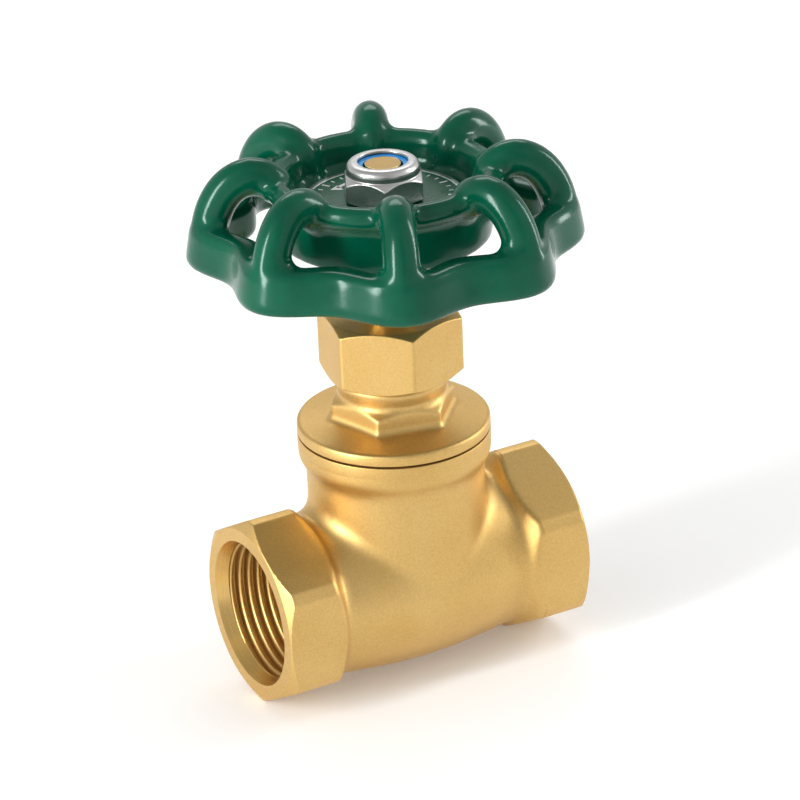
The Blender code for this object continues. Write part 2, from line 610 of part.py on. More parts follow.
def build_disc():
    """The disc holder, the seal it presses on the seat, and the pieces that fasten both."""
    pieces = [turned("disc_holder", disc_holder_profile(), PARTS, SMALL_STEPS)]
    dress(pieces[0], "brass_turned")
    pieces.append(ring("disc_seal", DISC_STUD_BORE, SEAL_RADIUS, SEAL_BOTTOM, SEAL_TOP, "rubber"))
    washer_top = SEAL_BOTTOM - PLAY
    washer_bottom = washer_top - SEAL_WASHER_THICKNESS
    pieces.append(ring("disc_seal_washer", DISC_STUD_BORE, SEAL_WASHER_RADIUS, washer_bottom,
                       washer_top, "brass_turned"))
    nut_top = washer_bottom - PLAY
    nut = nut_blank("disc_seal_nut", SEAL_NUT_ACROSS_FLATS, nut_top - SEAL_NUT_HEIGHT, nut_top,
                    SEAL_NUT_ANGLE, (MM / 2, 0.0), PARTS)
    hole = turned("disc_seal_nut_hole", [(0.0, nut_top + MM), (DISC_STUD_BORE, nut_top + MM),
                                         (DISC_STUD_BORE, nut_top - SEAL_NUT_HEIGHT - MM),
                                         (0.0, nut_top - SEAL_NUT_HEIGHT - MM)],
                  CUTTERS, SMALL_STEPS)
    boolean(nut, "DIFFERENCE", hole)
    dress(nut, "brass_turned")
    pieces.append(nut)

    neck_bore = STEM_NECK_RADIUS + PLAY
    retainer = ring("disc_retaining_ring", neck_bore, HEAD_POCKET - PLAY, RETAINER_BOTTOM,
                    RETAINER_TOP, "stainless")
    slot = box("retaining_ring_slot", (0.0, -neck_bore, RETAINER_BOTTOM - MM),
               (2 * HEAD_POCKET, neck_bore, RETAINER_TOP + MM), CUTTERS)
    boolean(retainer, "DIFFERENCE", slot)
    pieces.append(retainer)
    return pieces


# --- stem --------------------------------------------------------------------------------------
def stem_profile():
    """Tip, square, polished length, back-seat cone, thread, neck and the head in the disc."""
    return [
        (0.0, STEM_TOP),
        (STEM_TIP_RADIUS - STEM_TIP_CHAMFER, STEM_TOP),
        (STEM_TIP_RADIUS, STEM_TOP - STEM_TIP_CHAMFER),
        (STEM_TIP_RADIUS, HUB_TOP - PLAY),
        (STEM_RADIUS, HUB_TOP - PLAY),
        (STEM_RADIUS, STEM_THREAD_TOP + BACK_SEAT_CONE),
        (STEM_THREAD_RADIUS, STEM_THREAD_TOP),
        (STEM_THREAD_RADIUS, STEM_THREAD_BOTTOM + MM),
        (STEM_THREAD_RADIUS - MM, STEM_THREAD_BOTTOM),
        (STEM_NECK_RADIUS, STEM_THREAD_BOTTOM),
        (STEM_NECK_RADIUS, STEM_HEAD_TOP),
        (STEM_HEAD_RADIUS, STEM_HEAD_TOP),
        (STEM_HEAD_RADIUS, STEM_HEAD_BOTTOM),
        (0.0, STEM_HEAD_BOTTOM),
    ]


def build_stem():
    """The stem, with the square that drives it filed on its upper end."""
    stem = turned("stem", stem_profile(), PARTS, SMALL_STEPS)
    half = STEM_SQUARE / 2
    reach = 2 * STEM_RADIUS
    shoulder = HUB_BOTTOM - PLAY
    square_top = HUB_TOP - PLAY + MM / 10
    filed = box("stem_square_waste", (-reach, -reach, shoulder), (reach, reach, square_top),
                CUTTERS, LOBE_ANGLE)
    kept = box("stem_square", (-half, -half, shoulder - MM), (half, half, square_top + MM),
               CUTTERS, LOBE_ANGLE)
    boolean(filed, "DIFFERENCE", kept)
    boolean(stem, "DIFFERENCE", filed)
    dress(stem, "brass_turned")
    return stem


# --- handwheel ---------------------------------------------------------------------------------
def rim_points():
    """Middle line of the rim: a circle that swells out at every lobe."""
    count = 8 * LOBE_COUNT
    swing = LOBE_DEPTH / 2
    mean = WHEEL_RADIUS - RIM_TUBE_RADIUS - swing
    points = []
    for i in range(count):
        angle = 2 * math.pi * i / count
        radius = mean + swing * math.cos(LOBE_COUNT * angle)
        turn = angle + LOBE_ANGLE
        points.append((radius * math.cos(turn), radius * math.sin(turn), RIM_LEVEL))
    return points


def arch_points(angle):
    """Middle line of one arch, up from a lobe of the rim and over to the ring of the cup."""
    foot = (WHEEL_RADIUS - RIM_TUBE_RADIUS, RIM_LEVEL)
    head = (RING_PATH_RADIUS, RING_LEVEL)
    crown = HUB_BOTTOM + ARCH_TOP
    handle_rise = (8 * crown - foot[1] - head[1]) / 6
    handles = ((foot[0] - 0.6 * MM, handle_rise - 2 * MM), (head[0] + 3.8 * MM, handle_rise + 2 * MM))
    points = []
    steps = 8
    for i in range(steps + 1):
        t = i / steps
        weights = ((1 - t) ** 3, 3 * t * (1 - t) ** 2, 3 * t * t * (1 - t), t ** 3)
        stations = (foot, handles[0], handles[1], head)
        radius = sum(weight * station[0] for weight, station in zip(weights, stations))
        height = sum(weight * station[1] for weight, station in zip(weights, stations))
        points.append((radius * math.cos(angle), radius * math.sin(angle), height))
    return points


def cup_profile():
    """The dished centre: the ring that the arches meet, the cup wall, its floor and the hub."""
    foot_radius = CUP_RADIUS + CUP_WALL - CUP_FOOT_ROUND
    ring_over = arc((RING_PATH_RADIUS, RING_LEVEL), RING_TUBE_RADIUS, 180, -60, 5)
    foot_level = HUB_BOTTOM - CUP_SKIRT + CUP_FOOT_ROUND
    foot = arc((foot_radius, foot_level), CUP_FOOT_ROUND, 0, -180, 4)
    web = [
        (foot_radius - CUP_FOOT_ROUND, HUB_TOP - CUP_FLOOR),
        (HUB_RADIUS, HUB_TOP - CUP_FLOOR),
        (HUB_RADIUS, HUB_BOTTOM),
        (0.0, HUB_BOTTOM),
    ]
    return [(0.0, HUB_TOP), (CUP_RADIUS, HUB_TOP)] + ring_over + foot + web


def build_handwheel():
    """The cast wheel: cup, lobed rim and eight arches, with a square hole in its hub."""
    wheel = turned("handwheel", cup_profile(), PARTS)
    boolean(wheel, "UNION", tube("wheel_rim", rim_points(), RIM_TUBE_RADIUS, True, CUTTERS))
    for i in range(LOBE_COUNT):
        angle = LOBE_ANGLE + 2 * math.pi * i / LOBE_COUNT
        arch = tube(f"wheel_arch_{i + 1}", arch_points(angle), ARCH_TUBE_RADIUS, False, CUTTERS)
        boolean(wheel, "UNION", arch)
    half = HUB_SQUARE / 2
    hole = box("hub_square", (-half, -half, HUB_BOTTOM - MM), (half, half, HUB_TOP + MM), CUTTERS,
               LOBE_ANGLE)
    boolean(wheel, "DIFFERENCE", hole)
    dress(wheel, "green_enamel")
    return wheel


def build_lock_nut():
    """The self-locking nut with its rolled collar, and the nylon ring held under the lip."""
    nut = nut_blank("wheel_lock_nut", LOCK_NUT_ACROSS_FLATS, LOCK_NUT_BOTTOM,
                    LOCK_NUT_BOTTOM + LOCK_NUT_HEX_HEIGHT, LOCK_NUT_ANGLE, (MM / 2, MM), PARTS)
    collar_round = 1.2 * MM
    shoulder = LOCK_NUT_BOTTOM + LOCK_NUT_HEX_HEIGHT - MM
    rolled = arc((LOCK_NUT_COLLAR_RADIUS - collar_round, LOCK_NUT_TOP - collar_round), collar_round,
                 90, 0, 3)
    collar = [(0.0, LOCK_NUT_TOP)] + rolled + [(LOCK_NUT_COLLAR_RADIUS, shoulder), (0.0, shoulder)]
    boolean(nut, "UNION", turned("lock_nut_collar", collar, CUTTERS))
    pocket = INSERT_OUTSIDE + PLAY / 2
    lip = STEM_TIP_RADIUS + 0.4 * MM
    insert_bottom = INSERT_TOP - INSERT_HEIGHT
    bore = [
        (0.0, LOCK_NUT_TOP + MM),
        (lip, LOCK_NUT_TOP + MM),
        (lip, LOCK_NUT_TOP - LOCK_NUT_LIP),
        (pocket, LOCK_NUT_TOP - LOCK_NUT_LIP),
        (pocket, insert_bottom - PLAY),
        (LOCK_NUT_BORE, insert_bottom - PLAY),
        (LOCK_NUT_BORE, LOCK_NUT_BOTTOM - MM),
        (0.0, LOCK_NUT_BOTTOM - MM),
    ]
    boolean(nut, "DIFFERENCE", turned("lock_nut_bore", bore, CUTTERS, SMALL_STEPS))
    dress(nut, "stainless")

    mouth = STEM_TIP_RADIUS - STEM_TIP_CHAMFER + PLAY
    profile = [
        (mouth, INSERT_TOP),
        (INSERT_OUTSIDE, INSERT_TOP),
        (INSERT_OUTSIDE, insert_bottom),
        (LOCK_NUT_BORE, insert_bottom),
        (LOCK_NUT_BORE, STEM_TOP - STEM_TIP_CHAMFER),
        (mouth, STEM_TOP),
    ]
    insert = turned("nylon_insert", profile, PARTS, SMALL_STEPS)
    dress(insert, "nylon")
    return [nut, insert]


def build_wheel_fittings():
    """The printed disc in the wheel's cup, and the nut that holds it and the wheel down."""
    plate = ring("nameplate", LOCK_NUT_BORE + PLAY, NAMEPLATE_RADIUS, NAMEPLATE_BOTTOM,
                 NAMEPLATE_BOTTOM + NAMEPLATE_THICKNESS, "printed_aluminium", ROUND_STEPS)
    return [plate] + build_lock_nut()


# --- assembly ----------------------------------------------------------------------------------
def carry(name, pieces, parent=None):
    """An empty on the stem axis that carries the pieces of one moving body."""
    carrier = bpy.data.objects.new(name, None)
    PARTS.objects.link(carrier)
    carrier.parent = parent
    for piece in pieces:
        piece.parent = carrier
    return carrier


clear_scene()
PARTS = make_collection("globe_valve")
CUTTERS = make_collection("cutters")

build_body()
build_bonnet()
build_packing()
disc_lift = carry("disc_lift", build_disc())
carry("handwheel_turn", [build_stem(), build_handwheel()] + build_wheel_fittings(), disc_lift)
for part in PARTS.objects:
    if part.type == "MESH":
        shade(part)
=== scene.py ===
"""The looks of a DN 20 globe valve: its brass castings, dipped handwheel and small fittings."""

import logging  # noqa: E402
import math  # noqa: E402
from dataclasses import dataclass  # noqa: E402
from enum import Enum  # noqa: E402
from typing import Iterable, Sequence  # noqa: E402

import bmesh  # noqa: E402
import bpy  # noqa: E402
from mathutils import Matrix, Vector  # noqa: E402


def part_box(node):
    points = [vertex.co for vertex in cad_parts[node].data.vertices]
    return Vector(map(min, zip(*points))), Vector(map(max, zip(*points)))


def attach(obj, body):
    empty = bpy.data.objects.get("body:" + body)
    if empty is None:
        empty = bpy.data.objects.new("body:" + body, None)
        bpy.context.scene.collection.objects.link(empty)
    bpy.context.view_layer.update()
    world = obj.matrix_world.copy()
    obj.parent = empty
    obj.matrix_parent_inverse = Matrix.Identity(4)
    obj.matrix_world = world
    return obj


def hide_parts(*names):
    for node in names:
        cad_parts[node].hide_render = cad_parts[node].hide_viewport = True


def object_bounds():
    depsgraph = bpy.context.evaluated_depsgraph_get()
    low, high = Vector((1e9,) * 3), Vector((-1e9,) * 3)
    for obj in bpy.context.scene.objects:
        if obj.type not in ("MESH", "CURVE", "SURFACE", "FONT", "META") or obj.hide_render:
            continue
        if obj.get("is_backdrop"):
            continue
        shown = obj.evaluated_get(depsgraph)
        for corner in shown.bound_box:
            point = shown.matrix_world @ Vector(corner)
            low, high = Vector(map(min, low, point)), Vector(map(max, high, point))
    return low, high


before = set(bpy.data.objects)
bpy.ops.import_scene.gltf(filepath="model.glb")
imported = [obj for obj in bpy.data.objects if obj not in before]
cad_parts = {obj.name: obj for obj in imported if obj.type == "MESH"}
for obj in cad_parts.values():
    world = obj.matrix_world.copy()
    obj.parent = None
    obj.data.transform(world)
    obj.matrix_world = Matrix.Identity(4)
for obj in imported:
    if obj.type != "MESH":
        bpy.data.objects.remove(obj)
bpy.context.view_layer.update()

LOG = logging.getLogger("globe_valve")
MM = 0.001
ORIGIN = (0.0, 0.0, 0.0)
UP = (0.0, 0.0, 1.0)
FULL_TURN = 2 * math.pi
PLAY = 0.3 * MM          # clearance between neighbouring pieces
FINE_STEPS = 144         # facets round a large turned shape
SMALL_STEPS = 96         # facets round a small turned shape
WELD = 1e-6              # vertices closer than this are one
SHARP = math.radians(32)  # a steeper edge than this is shaded as an edge
LOBE_TURN = math.radians(21.3)  # direction of one lobe of the wheel, and of a flat of the stem
HUB_HEIGHT = 4.3 * MM    # of the wheel's hub, and so of the stem's square

Colour = tuple[float, float, float, float]


class Side(Enum):
    """The two ends of the run."""

    INLET = -1.0
    OUTLET = 1.0


class Cut(Enum):
    """How one solid acts on another."""

    JOIN = "UNION"
    REMOVE = "DIFFERENCE"


# --- shapes --------------------------------------------------------------------------------------
@dataclass(frozen=True)
class Corner:
    """A corner of a turned outline: its radius, its level along the axis, and the round on it."""

    radius: float
    level: float
    round: float = 0.0

    def place(self) -> Vector:
        """The corner as a point of the outline's plane."""
        return Vector((self.radius, self.level))


def outline(corners: Sequence[Corner], closed: bool, arc_steps: int) -> list[Vector]:
    """Works a list of corners out to points, with an arc at each rounded one.

    Args:
        corners: the corners in order.
        closed: whether the last corner runs back to the first.
        arc_steps: how many pieces make an arc.

    Returns:
        The points, as (radius, level).
    """
    points = []
    for i, corner in enumerate(corners):
        here = corner.place()
        if corner.round == 0.0 or (not closed and i in (0, len(corners) - 1)):
            points.append(here)
            continue
        back = (corners[i - 1].place() - here).normalized()
        onward = (corners[(i + 1) % len(corners)].place() - here).normalized()
        half = back.angle(onward) / 2
        centre = here + (back + onward).normalized() * (corner.round / math.sin(half))
        reach = corner.round / math.tan(half)
        start, end = here + back * reach - centre, here + onward * reach - centre
        sweep = start.angle(end)
        for k in range(arc_steps + 1):
            share = k / arc_steps
            along = start * math.sin((1 - share) * sweep) + end * math.sin(share * sweep)
            points.append(centre + along / math.sin(sweep))
    return points


def spaced(points: Sequence[Vector], spacing: float) -> list[Vector]:
    """Adds points along an open outline, so that no step in it is too long.

    Args:
        points: the outline.
        spacing: the most that two neighbours may lie apart, or 0 for no limit.

    Returns:
        The outline with the points that it lacked.
    """
    if spacing == 0.0:
        return list(points)
    filled = [points[0]]
    for start, end in zip(points, points[1:]):
        pieces = max(1, math.ceil((end - start).length / spacing))
        filled += [start.lerp(end, k / pieces) for k in range(1, pieces + 1)]
    return filled


class Form:
    """A closed solid being shaped, held as a bmesh."""

    def __init__(self) -> None:
        """Starts with nothing in it."""
        self.bm = bmesh.new()

    @classmethod
    def turned(cls, corners: Sequence[Corner], steps: int = FINE_STEPS, spacing: float = 0.0,
               arc_steps: int = 5) -> "Form":
        """Turns an outline about the Z axis.

        Args:
            corners: the outline, from the axis back to the axis, or closed on itself as a ring.
            steps: facets round the axis.
            spacing: the most that two rows of vertices may lie apart, or 0 for no limit.
            arc_steps: pieces in each rounded corner.

        Returns:
            The closed solid.
        """
        form = cls()
        is_ring = corners[0].radius > 0.0
        points = spaced(outline(corners, is_ring, arc_steps), spacing)
        verts = [form.bm.verts.new((max(p.x, 0.0), 0.0, p.y)) for p in points]
        edges = [form.bm.edges.new(pair) for pair in zip(verts, verts[1:])]
        if is_ring:
            edges.append(form.bm.edges.new((verts[-1], verts[0])))
        bmesh.ops.spin(form.bm, geom=verts + edges, cent=ORIGIN, axis=UP, dvec=ORIGIN,
                       angle=FULL_TURN, steps=steps, use_merge=True)
        return form.sealed()

    @classmethod
    def threaded(cls, thread: "Thread", start: float, end: float,
                 steps: int = FINE_STEPS) -> "Form":
        """A threaded rod on the Z axis, cut off square at both ends.

        Args:
            thread: the thread's radii and pitch.
            start: level of the lower end.
            end: level of the upper end.
            steps: facets round the axis.

        Returns:
            The closed solid.
        """
        form = cls()
        rows_a_turn = len(thread.SHAPE)
        turns = math.ceil((end - start) / thread.pitch) + 3
        first = start - 1.5 * thread.pitch
        verts = []
        for row in range(turns * rows_a_turn + 1):
            height = thread.SHAPE[row % rows_a_turn]
            radius = thread.core + height * (thread.crest - thread.core)
            verts.append(form.bm.verts.new((radius, 0.0, first + row * thread.pitch / rows_a_turn)))
        edges = [form.bm.edges.new(pair) for pair in zip(verts, verts[1:])]
        bmesh.ops.spin(form.bm, geom=verts + edges, cent=ORIGIN, axis=UP,
                       dvec=(0.0, 0.0, thread.pitch / steps), angle=FULL_TURN, steps=steps)
        bmesh.ops.remove_doubles(form.bm, verts=form.bm.verts, dist=WELD)
        form.clip((0.0, 0.0, start), (0.0, 0.0, -1.0))
        form.clip((0.0, 0.0, end), (0.0, 0.0, 1.0))
        return form.sealed()

    @classmethod
    def bar(cls, stations: Sequence["Station"], sides: int = 28) -> "Form":
        """A round bar that follows its stations, thick or thin as each of them says.

        Args:
            stations: the places along the bar's middle line.
            sides: facets round the bar.

        Returns:
            The closed solid.
        """
        form = cls()
        last: list[bmesh.types.BMEdge] = []
        for i, station in enumerate(stations):
            behind, ahead = stations[max(i - 1, 0)], stations[min(i + 1, len(stations) - 1)]
            turn = (ahead.centre - behind.centre).to_track_quat("Z", "Y").to_matrix().to_4x4()
            place = Matrix.Translation(station.centre) @ turn @ Matrix.Diagonal(
                (station.thickness, station.width, 1.0, 1.0))
            made = bmesh.ops.create_circle(form.bm, cap_ends=False, segments=sides, radius=1.0,
                                           matrix=place)
            edges = list({edge for vert in made["verts"] for edge in vert.link_edges
                          if all(v in made["verts"] for v in edge.verts)})
            if last:
                bmesh.ops.bridge_loops(form.bm, edges=last + edges)
            else:
                bmesh.ops.contextual_create(form.bm, geom=edges)
            last = edges
        bmesh.ops.contextual_create(form.bm, geom=last)
        return form.sealed()

    @classmethod
    def taken(cls, obj: bpy.types.Object) -> "Form":
        """Goes on shaping a finished object, which is used up.

        Args:
            obj: the object.

        Returns:
            Its form.
        """
        form = cls()
        form.bm.from_mesh(obj.data)
        bpy.data.objects.remove(obj)
        return form

    @classmethod
    def block(cls, low: Sequence[float], high: Sequence[float]) -> "Form":
        """An upright block between two corners.

        Args:
            low: the lowest corner.
            high: the highest corner.

        Returns:
            The closed solid.
        """
        form = cls()
        size = [b - a for a, b in zip(low, high)]
        middle = [(a + b) / 2 for a, b in zip(low, high)]
        bmesh.ops.create_cube(form.bm, size=1.0)
        bmesh.ops.scale(form.bm, verts=form.bm.verts, vec=size)
        bmesh.ops.translate(form.bm, verts=form.bm.verts, vec=middle)
        return form

    def sealed(self) -> "Form":
        """Merges what lies together and turns every face outwards.

        Returns:
            The same form.
        """
        bmesh.ops.remove_doubles(self.bm, verts=self.bm.verts, dist=WELD)
        bmesh.ops.dissolve_degenerate(self.bm, edges=self.bm.edges, dist=WELD / 10)
        bmesh.ops.recalc_face_normals(self.bm, faces=self.bm.faces)
        return self

    def clip(self, point: Sequence[float], outward: Sequence[float]) -> "Form":
        """Cuts away what lies beyond a plane and closes the cut.

        Args:
            point: a point of the plane.
            outward: the plane's direction, towards what goes.

        Returns:
            The same form.
        """
        geometry = self.bm.verts[:] + self.bm.edges[:] + self.bm.faces[:]
        cut = bmesh.ops.bisect_plane(self.bm, geom=geometry, dist=WELD / 10, plane_co=point,
                                     plane_no=outward, clear_outer=True)
        rim = [item for item in cut["geom_cut"] if isinstance(item, bmesh.types.BMEdge)]
        bmesh.ops.contextual_create(self.bm, geom=rim)
        return self

    def faceted(self, prism: "Prism") -> "Form":
        """Draws the outside in onto a prism's flats, with softened edges where the two meet.

        Args:
            prism: the flats and where along Z they reach.

        Returns:
            The same form.
        """
        for vert in self.bm.verts:
            if not prism.bottom <= vert.co.z <= prism.top:
                continue
            radius = math.hypot(vert.co.x, vert.co.y)
            if radius < WELD:
                continue
            wanted = prism.limit(radius, math.atan2(vert.co.y, vert.co.x))
            vert.co.x *= wanted / radius
            vert.co.y *= wanted / radius
        return self

    def lobed(self, count: int, swing: float, turn: float) -> "Form":
        """Makes a ring's radius swell and draw in as it goes round.

        Args:
            count: how many lobes.
            swing: how far it goes each way.
            turn: where the first lobe is.

        Returns:
            The same form.
        """
        for vert in self.bm.verts:
            radius = math.hypot(vert.co.x, vert.co.y)
            wanted = radius + swing * math.cos(count * (math.atan2(vert.co.y, vert.co.x) - turn))
            vert.co.x *= wanted / radius
            vert.co.y *= wanted / radius
        return self

    def placed(self, matrix: Matrix) -> "Form":
        """Turns or moves the whole form."""
        bmesh.ops.transform(self.bm, matrix=matrix, verts=self.bm.verts)
        return self

    def along(self, side: Side) -> "Form":
        """Lays a form made up the Z axis along the run, towards one end of it."""
        return self.placed(Matrix.Rotation(side.value * math.pi / 2, 4, "Y"))

    def joined(self, others: Iterable["Form"]) -> "Form":
        """Takes other forms in beside this one, still as separate shells.

        Args:
            others: the forms, which are used up.

        Returns:
            The same form.
        """
        for other in others:
            loose = bpy.data.meshes.new("loose")
            other.bm.to_mesh(loose)
            other.bm.free()
            self.bm.from_mesh(loose)
            bpy.data.meshes.remove(loose)
        return self

    def piece(self, name: str) -> bpy.types.Object:
        """Ends the shaping.

        Args:
            name: what the object is called.

        Returns:
            The object, at the origin.
        """
        mesh = bpy.data.meshes.new(name)
        self.bm.to_mesh(mesh)
        self.bm.free()
        obj = bpy.data.objects.new(name, mesh)
        bpy.context.scene.collection.objects.link(obj)
        return obj


@dataclass(frozen=True)
class Thread:
    """A screw thread: radius at its core and at its crest, and its pitch."""

    core: float
    crest: float
    pitch: float
    SHAPE = (0.0, 0.02, 0.09, 0.24, 0.48, 0.76, 0.95, 1.0, 0.95, 0.76, 0.48, 0.24, 0.09, 0.02)


@dataclass(frozen=True)
class Station:
    """A place on a bar's middle line, with half its width and half its thickness there."""

    centre: Vector
    width: float
    thickness: float


@dataclass(frozen=True)
class Prism:
    """Regular flats round the Z axis, as on a nut. A corner lies at turn."""

    sides: int
    across_flats: float
    turn: float
    bottom: float
    top: float
    edge_round: float = 0.2 * MM
    MELT = 0.04 * MM  # how gently flats run out into a turned surface

    def limit(self, radius: float, angle: float) -> float:
        """The lesser of a turned radius and the flats' distance in one direction, blended.

        Args:
            radius: the turned radius.
            angle: the direction, in radians.

        Returns:
            The radius that the nut has there.
        """
        half = math.pi / self.sides
        corner = self.across_flats / 2 / math.cos(half)
        power = math.log(2) * corner / (self.edge_round * (1 / math.cos(half) - 1))
        off = (angle - self.turn) % (2 * half) - half
        total = sum(max(0.0, math.cos(off + k * 2 * half)) ** power for k in (-1, 0, 1))
        flat = self.across_flats / 2 * total ** (-1 / power)
        gap = (radius - flat) / self.MELT
        return min(radius, flat) - self.MELT * math.log1p(math.exp(-abs(gap)))


def freeze(obj: bpy.types.Object) -> bpy.types.Object:
    """Turns an object's modifiers into mesh.

    Args:
        obj: the object.

    Returns:
        The same object, with the result as its mesh.
    """
    graph = bpy.context.evaluated_depsgraph_get()
    mesh = bpy.data.meshes.new_from_object(obj.evaluated_get(graph))
    old = obj.data
    obj.modifiers.clear()
    obj.data = mesh
    bpy.data.meshes.remove(old)
    mesh.name = obj.name
    return obj


def act(obj: bpy.types.Object, how: Cut, *tools: bpy.types.Object) -> bpy.types.Object:
    """Joins solids to another or cuts them out of it, and uses them up.

    Args:
        obj: the solid that is changed.
        how: what the tools do to it.
        tools: the other solids.

    Returns:
        The changed solid.
    """
    for tool in tools:
        change = obj.modifiers.new("change", "BOOLEAN")
        change.operation = how.value
        change.solver = "MANIFOLD"
        change.object = tool
        freeze(obj)
        bpy.data.objects.remove(tool)
    return obj


def melted(name: str, form: Form, grain: float, fillet: float, soften: int) -> bpy.types.Object:
    """Casts overlapping shells into one skin, with a fillet wherever two of them meet.

    Args:
        name: what the object is called.
        form: the shells.
        grain: size of the skin's cells.
        fillet: radius of the fillets.
        soften: how often the skin is smoothed at the end.

    Returns:
        The cast object.
    """
    obj = form.piece(name)
    for offset in (0.0, fillet, -fillet):
        if offset != 0.0:
            shift = obj.modifiers.new("shift", "DISPLACE")
            shift.mid_level = 0.0
            shift.strength = offset
        skin = obj.modifiers.new("skin", "REMESH")
        skin.mode = "VOXEL"
        skin.voxel_size = grain
        skin.use_smooth_shade = True
    smooth = obj.modifiers.new("smooth", "SMOOTH")
    smooth.factor = 0.5
    smooth.iterations = soften
    return freeze(obj)


def shaded(obj: bpy.types.Object, sharp: float = SHARP) -> bpy.types.Object:
    """Shades an object smooth between its sharp edges.

    Args:
        obj: the object.
        sharp: the angle past which an edge is shaded as one.

    Returns:
        The same object.
    """
    obj.data.shade_smooth()
    obj.data.set_sharp_from_angle(angle=sharp)
    return obj


# --- finishes ------------------------------------------------------------------------------------
class Bench:
    """Lays out the nodes of one material."""

    def __init__(self, name: str) -> None:
        """Starts a material with a Principled shader and the piece's own coordinates.

        Args:
            name: the material's name.
        """
        self.material = bpy.data.materials.new(name)
        self.material.use_nodes = True
        self.tree = self.material.node_tree
        self.tree.nodes.clear()
        self.shader = self.node("ShaderNodeBsdfPrincipled")
        output = self.node("ShaderNodeOutputMaterial")
        self.link(self.shader, "BSDF", output, "Surface")
        self.place = self.node("ShaderNodeTexCoord")

    def node(self, kind: str, **settings: object) -> bpy.types.Node:
        """Adds a node and sets its properties.

        Args:
            kind: its type.
            settings: its properties.

        Returns:
            The node.
        """
        node = self.tree.nodes.new(kind)
        for name, value in settings.items():
            setattr(node, name, value)
        return node

    def link(self, source: bpy.types.Node, output: str | int, target: bpy.types.Node,
             socket: str | int) -> None:
        """Joins an output to an input."""
        self.tree.links.new(source.outputs[output], target.inputs[socket])

    def noise(self, size: float, detail: float) -> bpy.types.Node:
        """A noise texture whose blotches are about size metres across.

        Args:
            size: the blotches' size.
            detail: how much finer noise is added.

        Returns:
            The texture node.
        """
        texture = self.node("ShaderNodeTexNoise")
        texture.inputs["Scale"].default_value = 1.0 / size
        texture.inputs["Detail"].default_value = detail
        self.link(self.place, "Object", texture, "Vector")
        return texture

    def spread(self, source: bpy.types.Node, output: str, low: float, high: float,
               start: float = 0.3, end: float = 0.7) -> bpy.types.Node:
        """Maps a texture's usual range onto another.

        Args:
            source: the node to read.
            output: its output.
            low: result at start.
            high: result at end.
            start: lower end of the range read.
            end: upper end of the range read.

        Returns:
            The mapping node.
        """
        node = self.node("ShaderNodeMapRange")
        for name, value in (("From Min", start), ("From Max", end), ("To Min", low),
                            ("To Max", high)):
            node.inputs[name].default_value = value
        self.link(source, output, node, "Value")
        return node

    def blend(self, share: bpy.types.Node, output: str, first: Colour,
              second: Colour) -> bpy.types.Node:
        """Mixes two colours by another node's value.

        Args:
            share: the node that gives the share of the second colour.
            output: its output.
            first: the colour at 0.
            second: the colour at 1.

        Returns:
            The mixing node.
        """
        node = self.node("ShaderNodeMix", data_type="RGBA")
        node.inputs[6].default_value = first
        node.inputs[7].default_value = second
        self.tree.links.new(share.outputs[output], node.inputs[0])
        return node

    def relief(self, source: bpy.types.Node, output: str, height: float,
               under: bpy.types.Node | None = None) -> bpy.types.Node:
        """Raises the surface by a texture.

        Args:
            source: the texture.
            output: its output.
            height: how high its full range stands, in metres.
            under: a relief that this one lies on.

        Returns:
            The bump node.
        """
        bump = self.node("ShaderNodeBump")
        bump.inputs["Strength"].default_value = 1.0
        bump.inputs["Distance"].default_value = height
        self.link(source, output, bump, "Height")
        if under is not None:
            self.link(under, "Normal", bump, "Normal")
        return bump

    def set(self, **values: object) -> None:
        """Sets constants on the shader's own sockets, named with _ for a space."""
        for name, value in values.items():
            self.shader.inputs[name.replace("_", " ")].default_value = value


@dataclass(frozen=True)
class BlastedMetal:
    """Cast metal after bead blasting: an even fine grain, slight stains and a few pits."""

    name: str
    light: Colour
    dark: Colour
    roughness: tuple[float, float]
    grain: float = 0.2 * MM
    grain_height: float = 0.011 * MM
    stain: float = 14.0 * MM

    def material(self) -> bpy.types.Material:
        """Builds the finish.

        Returns:
            The material.
        """
        bench = Bench(self.name)
        stain = bench.noise(self.stain, 4.0)
        tint = bench.blend(bench.spread(stain, "Fac", 0.0, 1.0), "Result", self.light, self.dark)
        grain = bench.noise(self.grain, 3.0)
        glitter = bench.noise(self.grain * 1.7, 1.0)
        pits = bench.node("ShaderNodeTexVoronoi")
        pits.inputs["Scale"].default_value = 1.0 / (2.6 * MM)
        bench.link(bench.place, "Object", pits, "Vector")
        pit = bench.spread(pits, "Distance", 1.0, 0.0, 0.02, 0.035)
        dotted = bench.node("ShaderNodeMix", data_type="RGBA")
        bench.link(pit, "Result", dotted, 0)
        bench.link(tint, 2, dotted, 6)
        dotted.inputs[7].default_value = tuple(0.35 * c for c in self.dark[:3]) + (1.0,)
        speckle = bench.node("ShaderNodeMix", data_type="RGBA", blend_type="MULTIPLY")
        speckle.inputs[0].default_value = 1.0
        bench.link(dotted, 2, speckle, 6)
        shade = bench.spread(glitter, "Fac", 0.93, 1.06)
        bench.link(shade, "Result", speckle, 7)
        bench.link(speckle, 2, bench.shader, "Base Color")
        rough = bench.spread(stain, "Fac", *self.roughness)
        bench.link(rough, "Result", bench.shader, "Roughness")
        broad = bench.relief(bench.noise(self.grain * 9, 1.0), "Fac", self.grain_height)
        fine = bench.relief(grain, "Fac", self.grain_height, broad)
        bench.link(fine, "Normal", bench.shader, "Normal")
        bench.set(Metallic=1.0)
        return bench.material


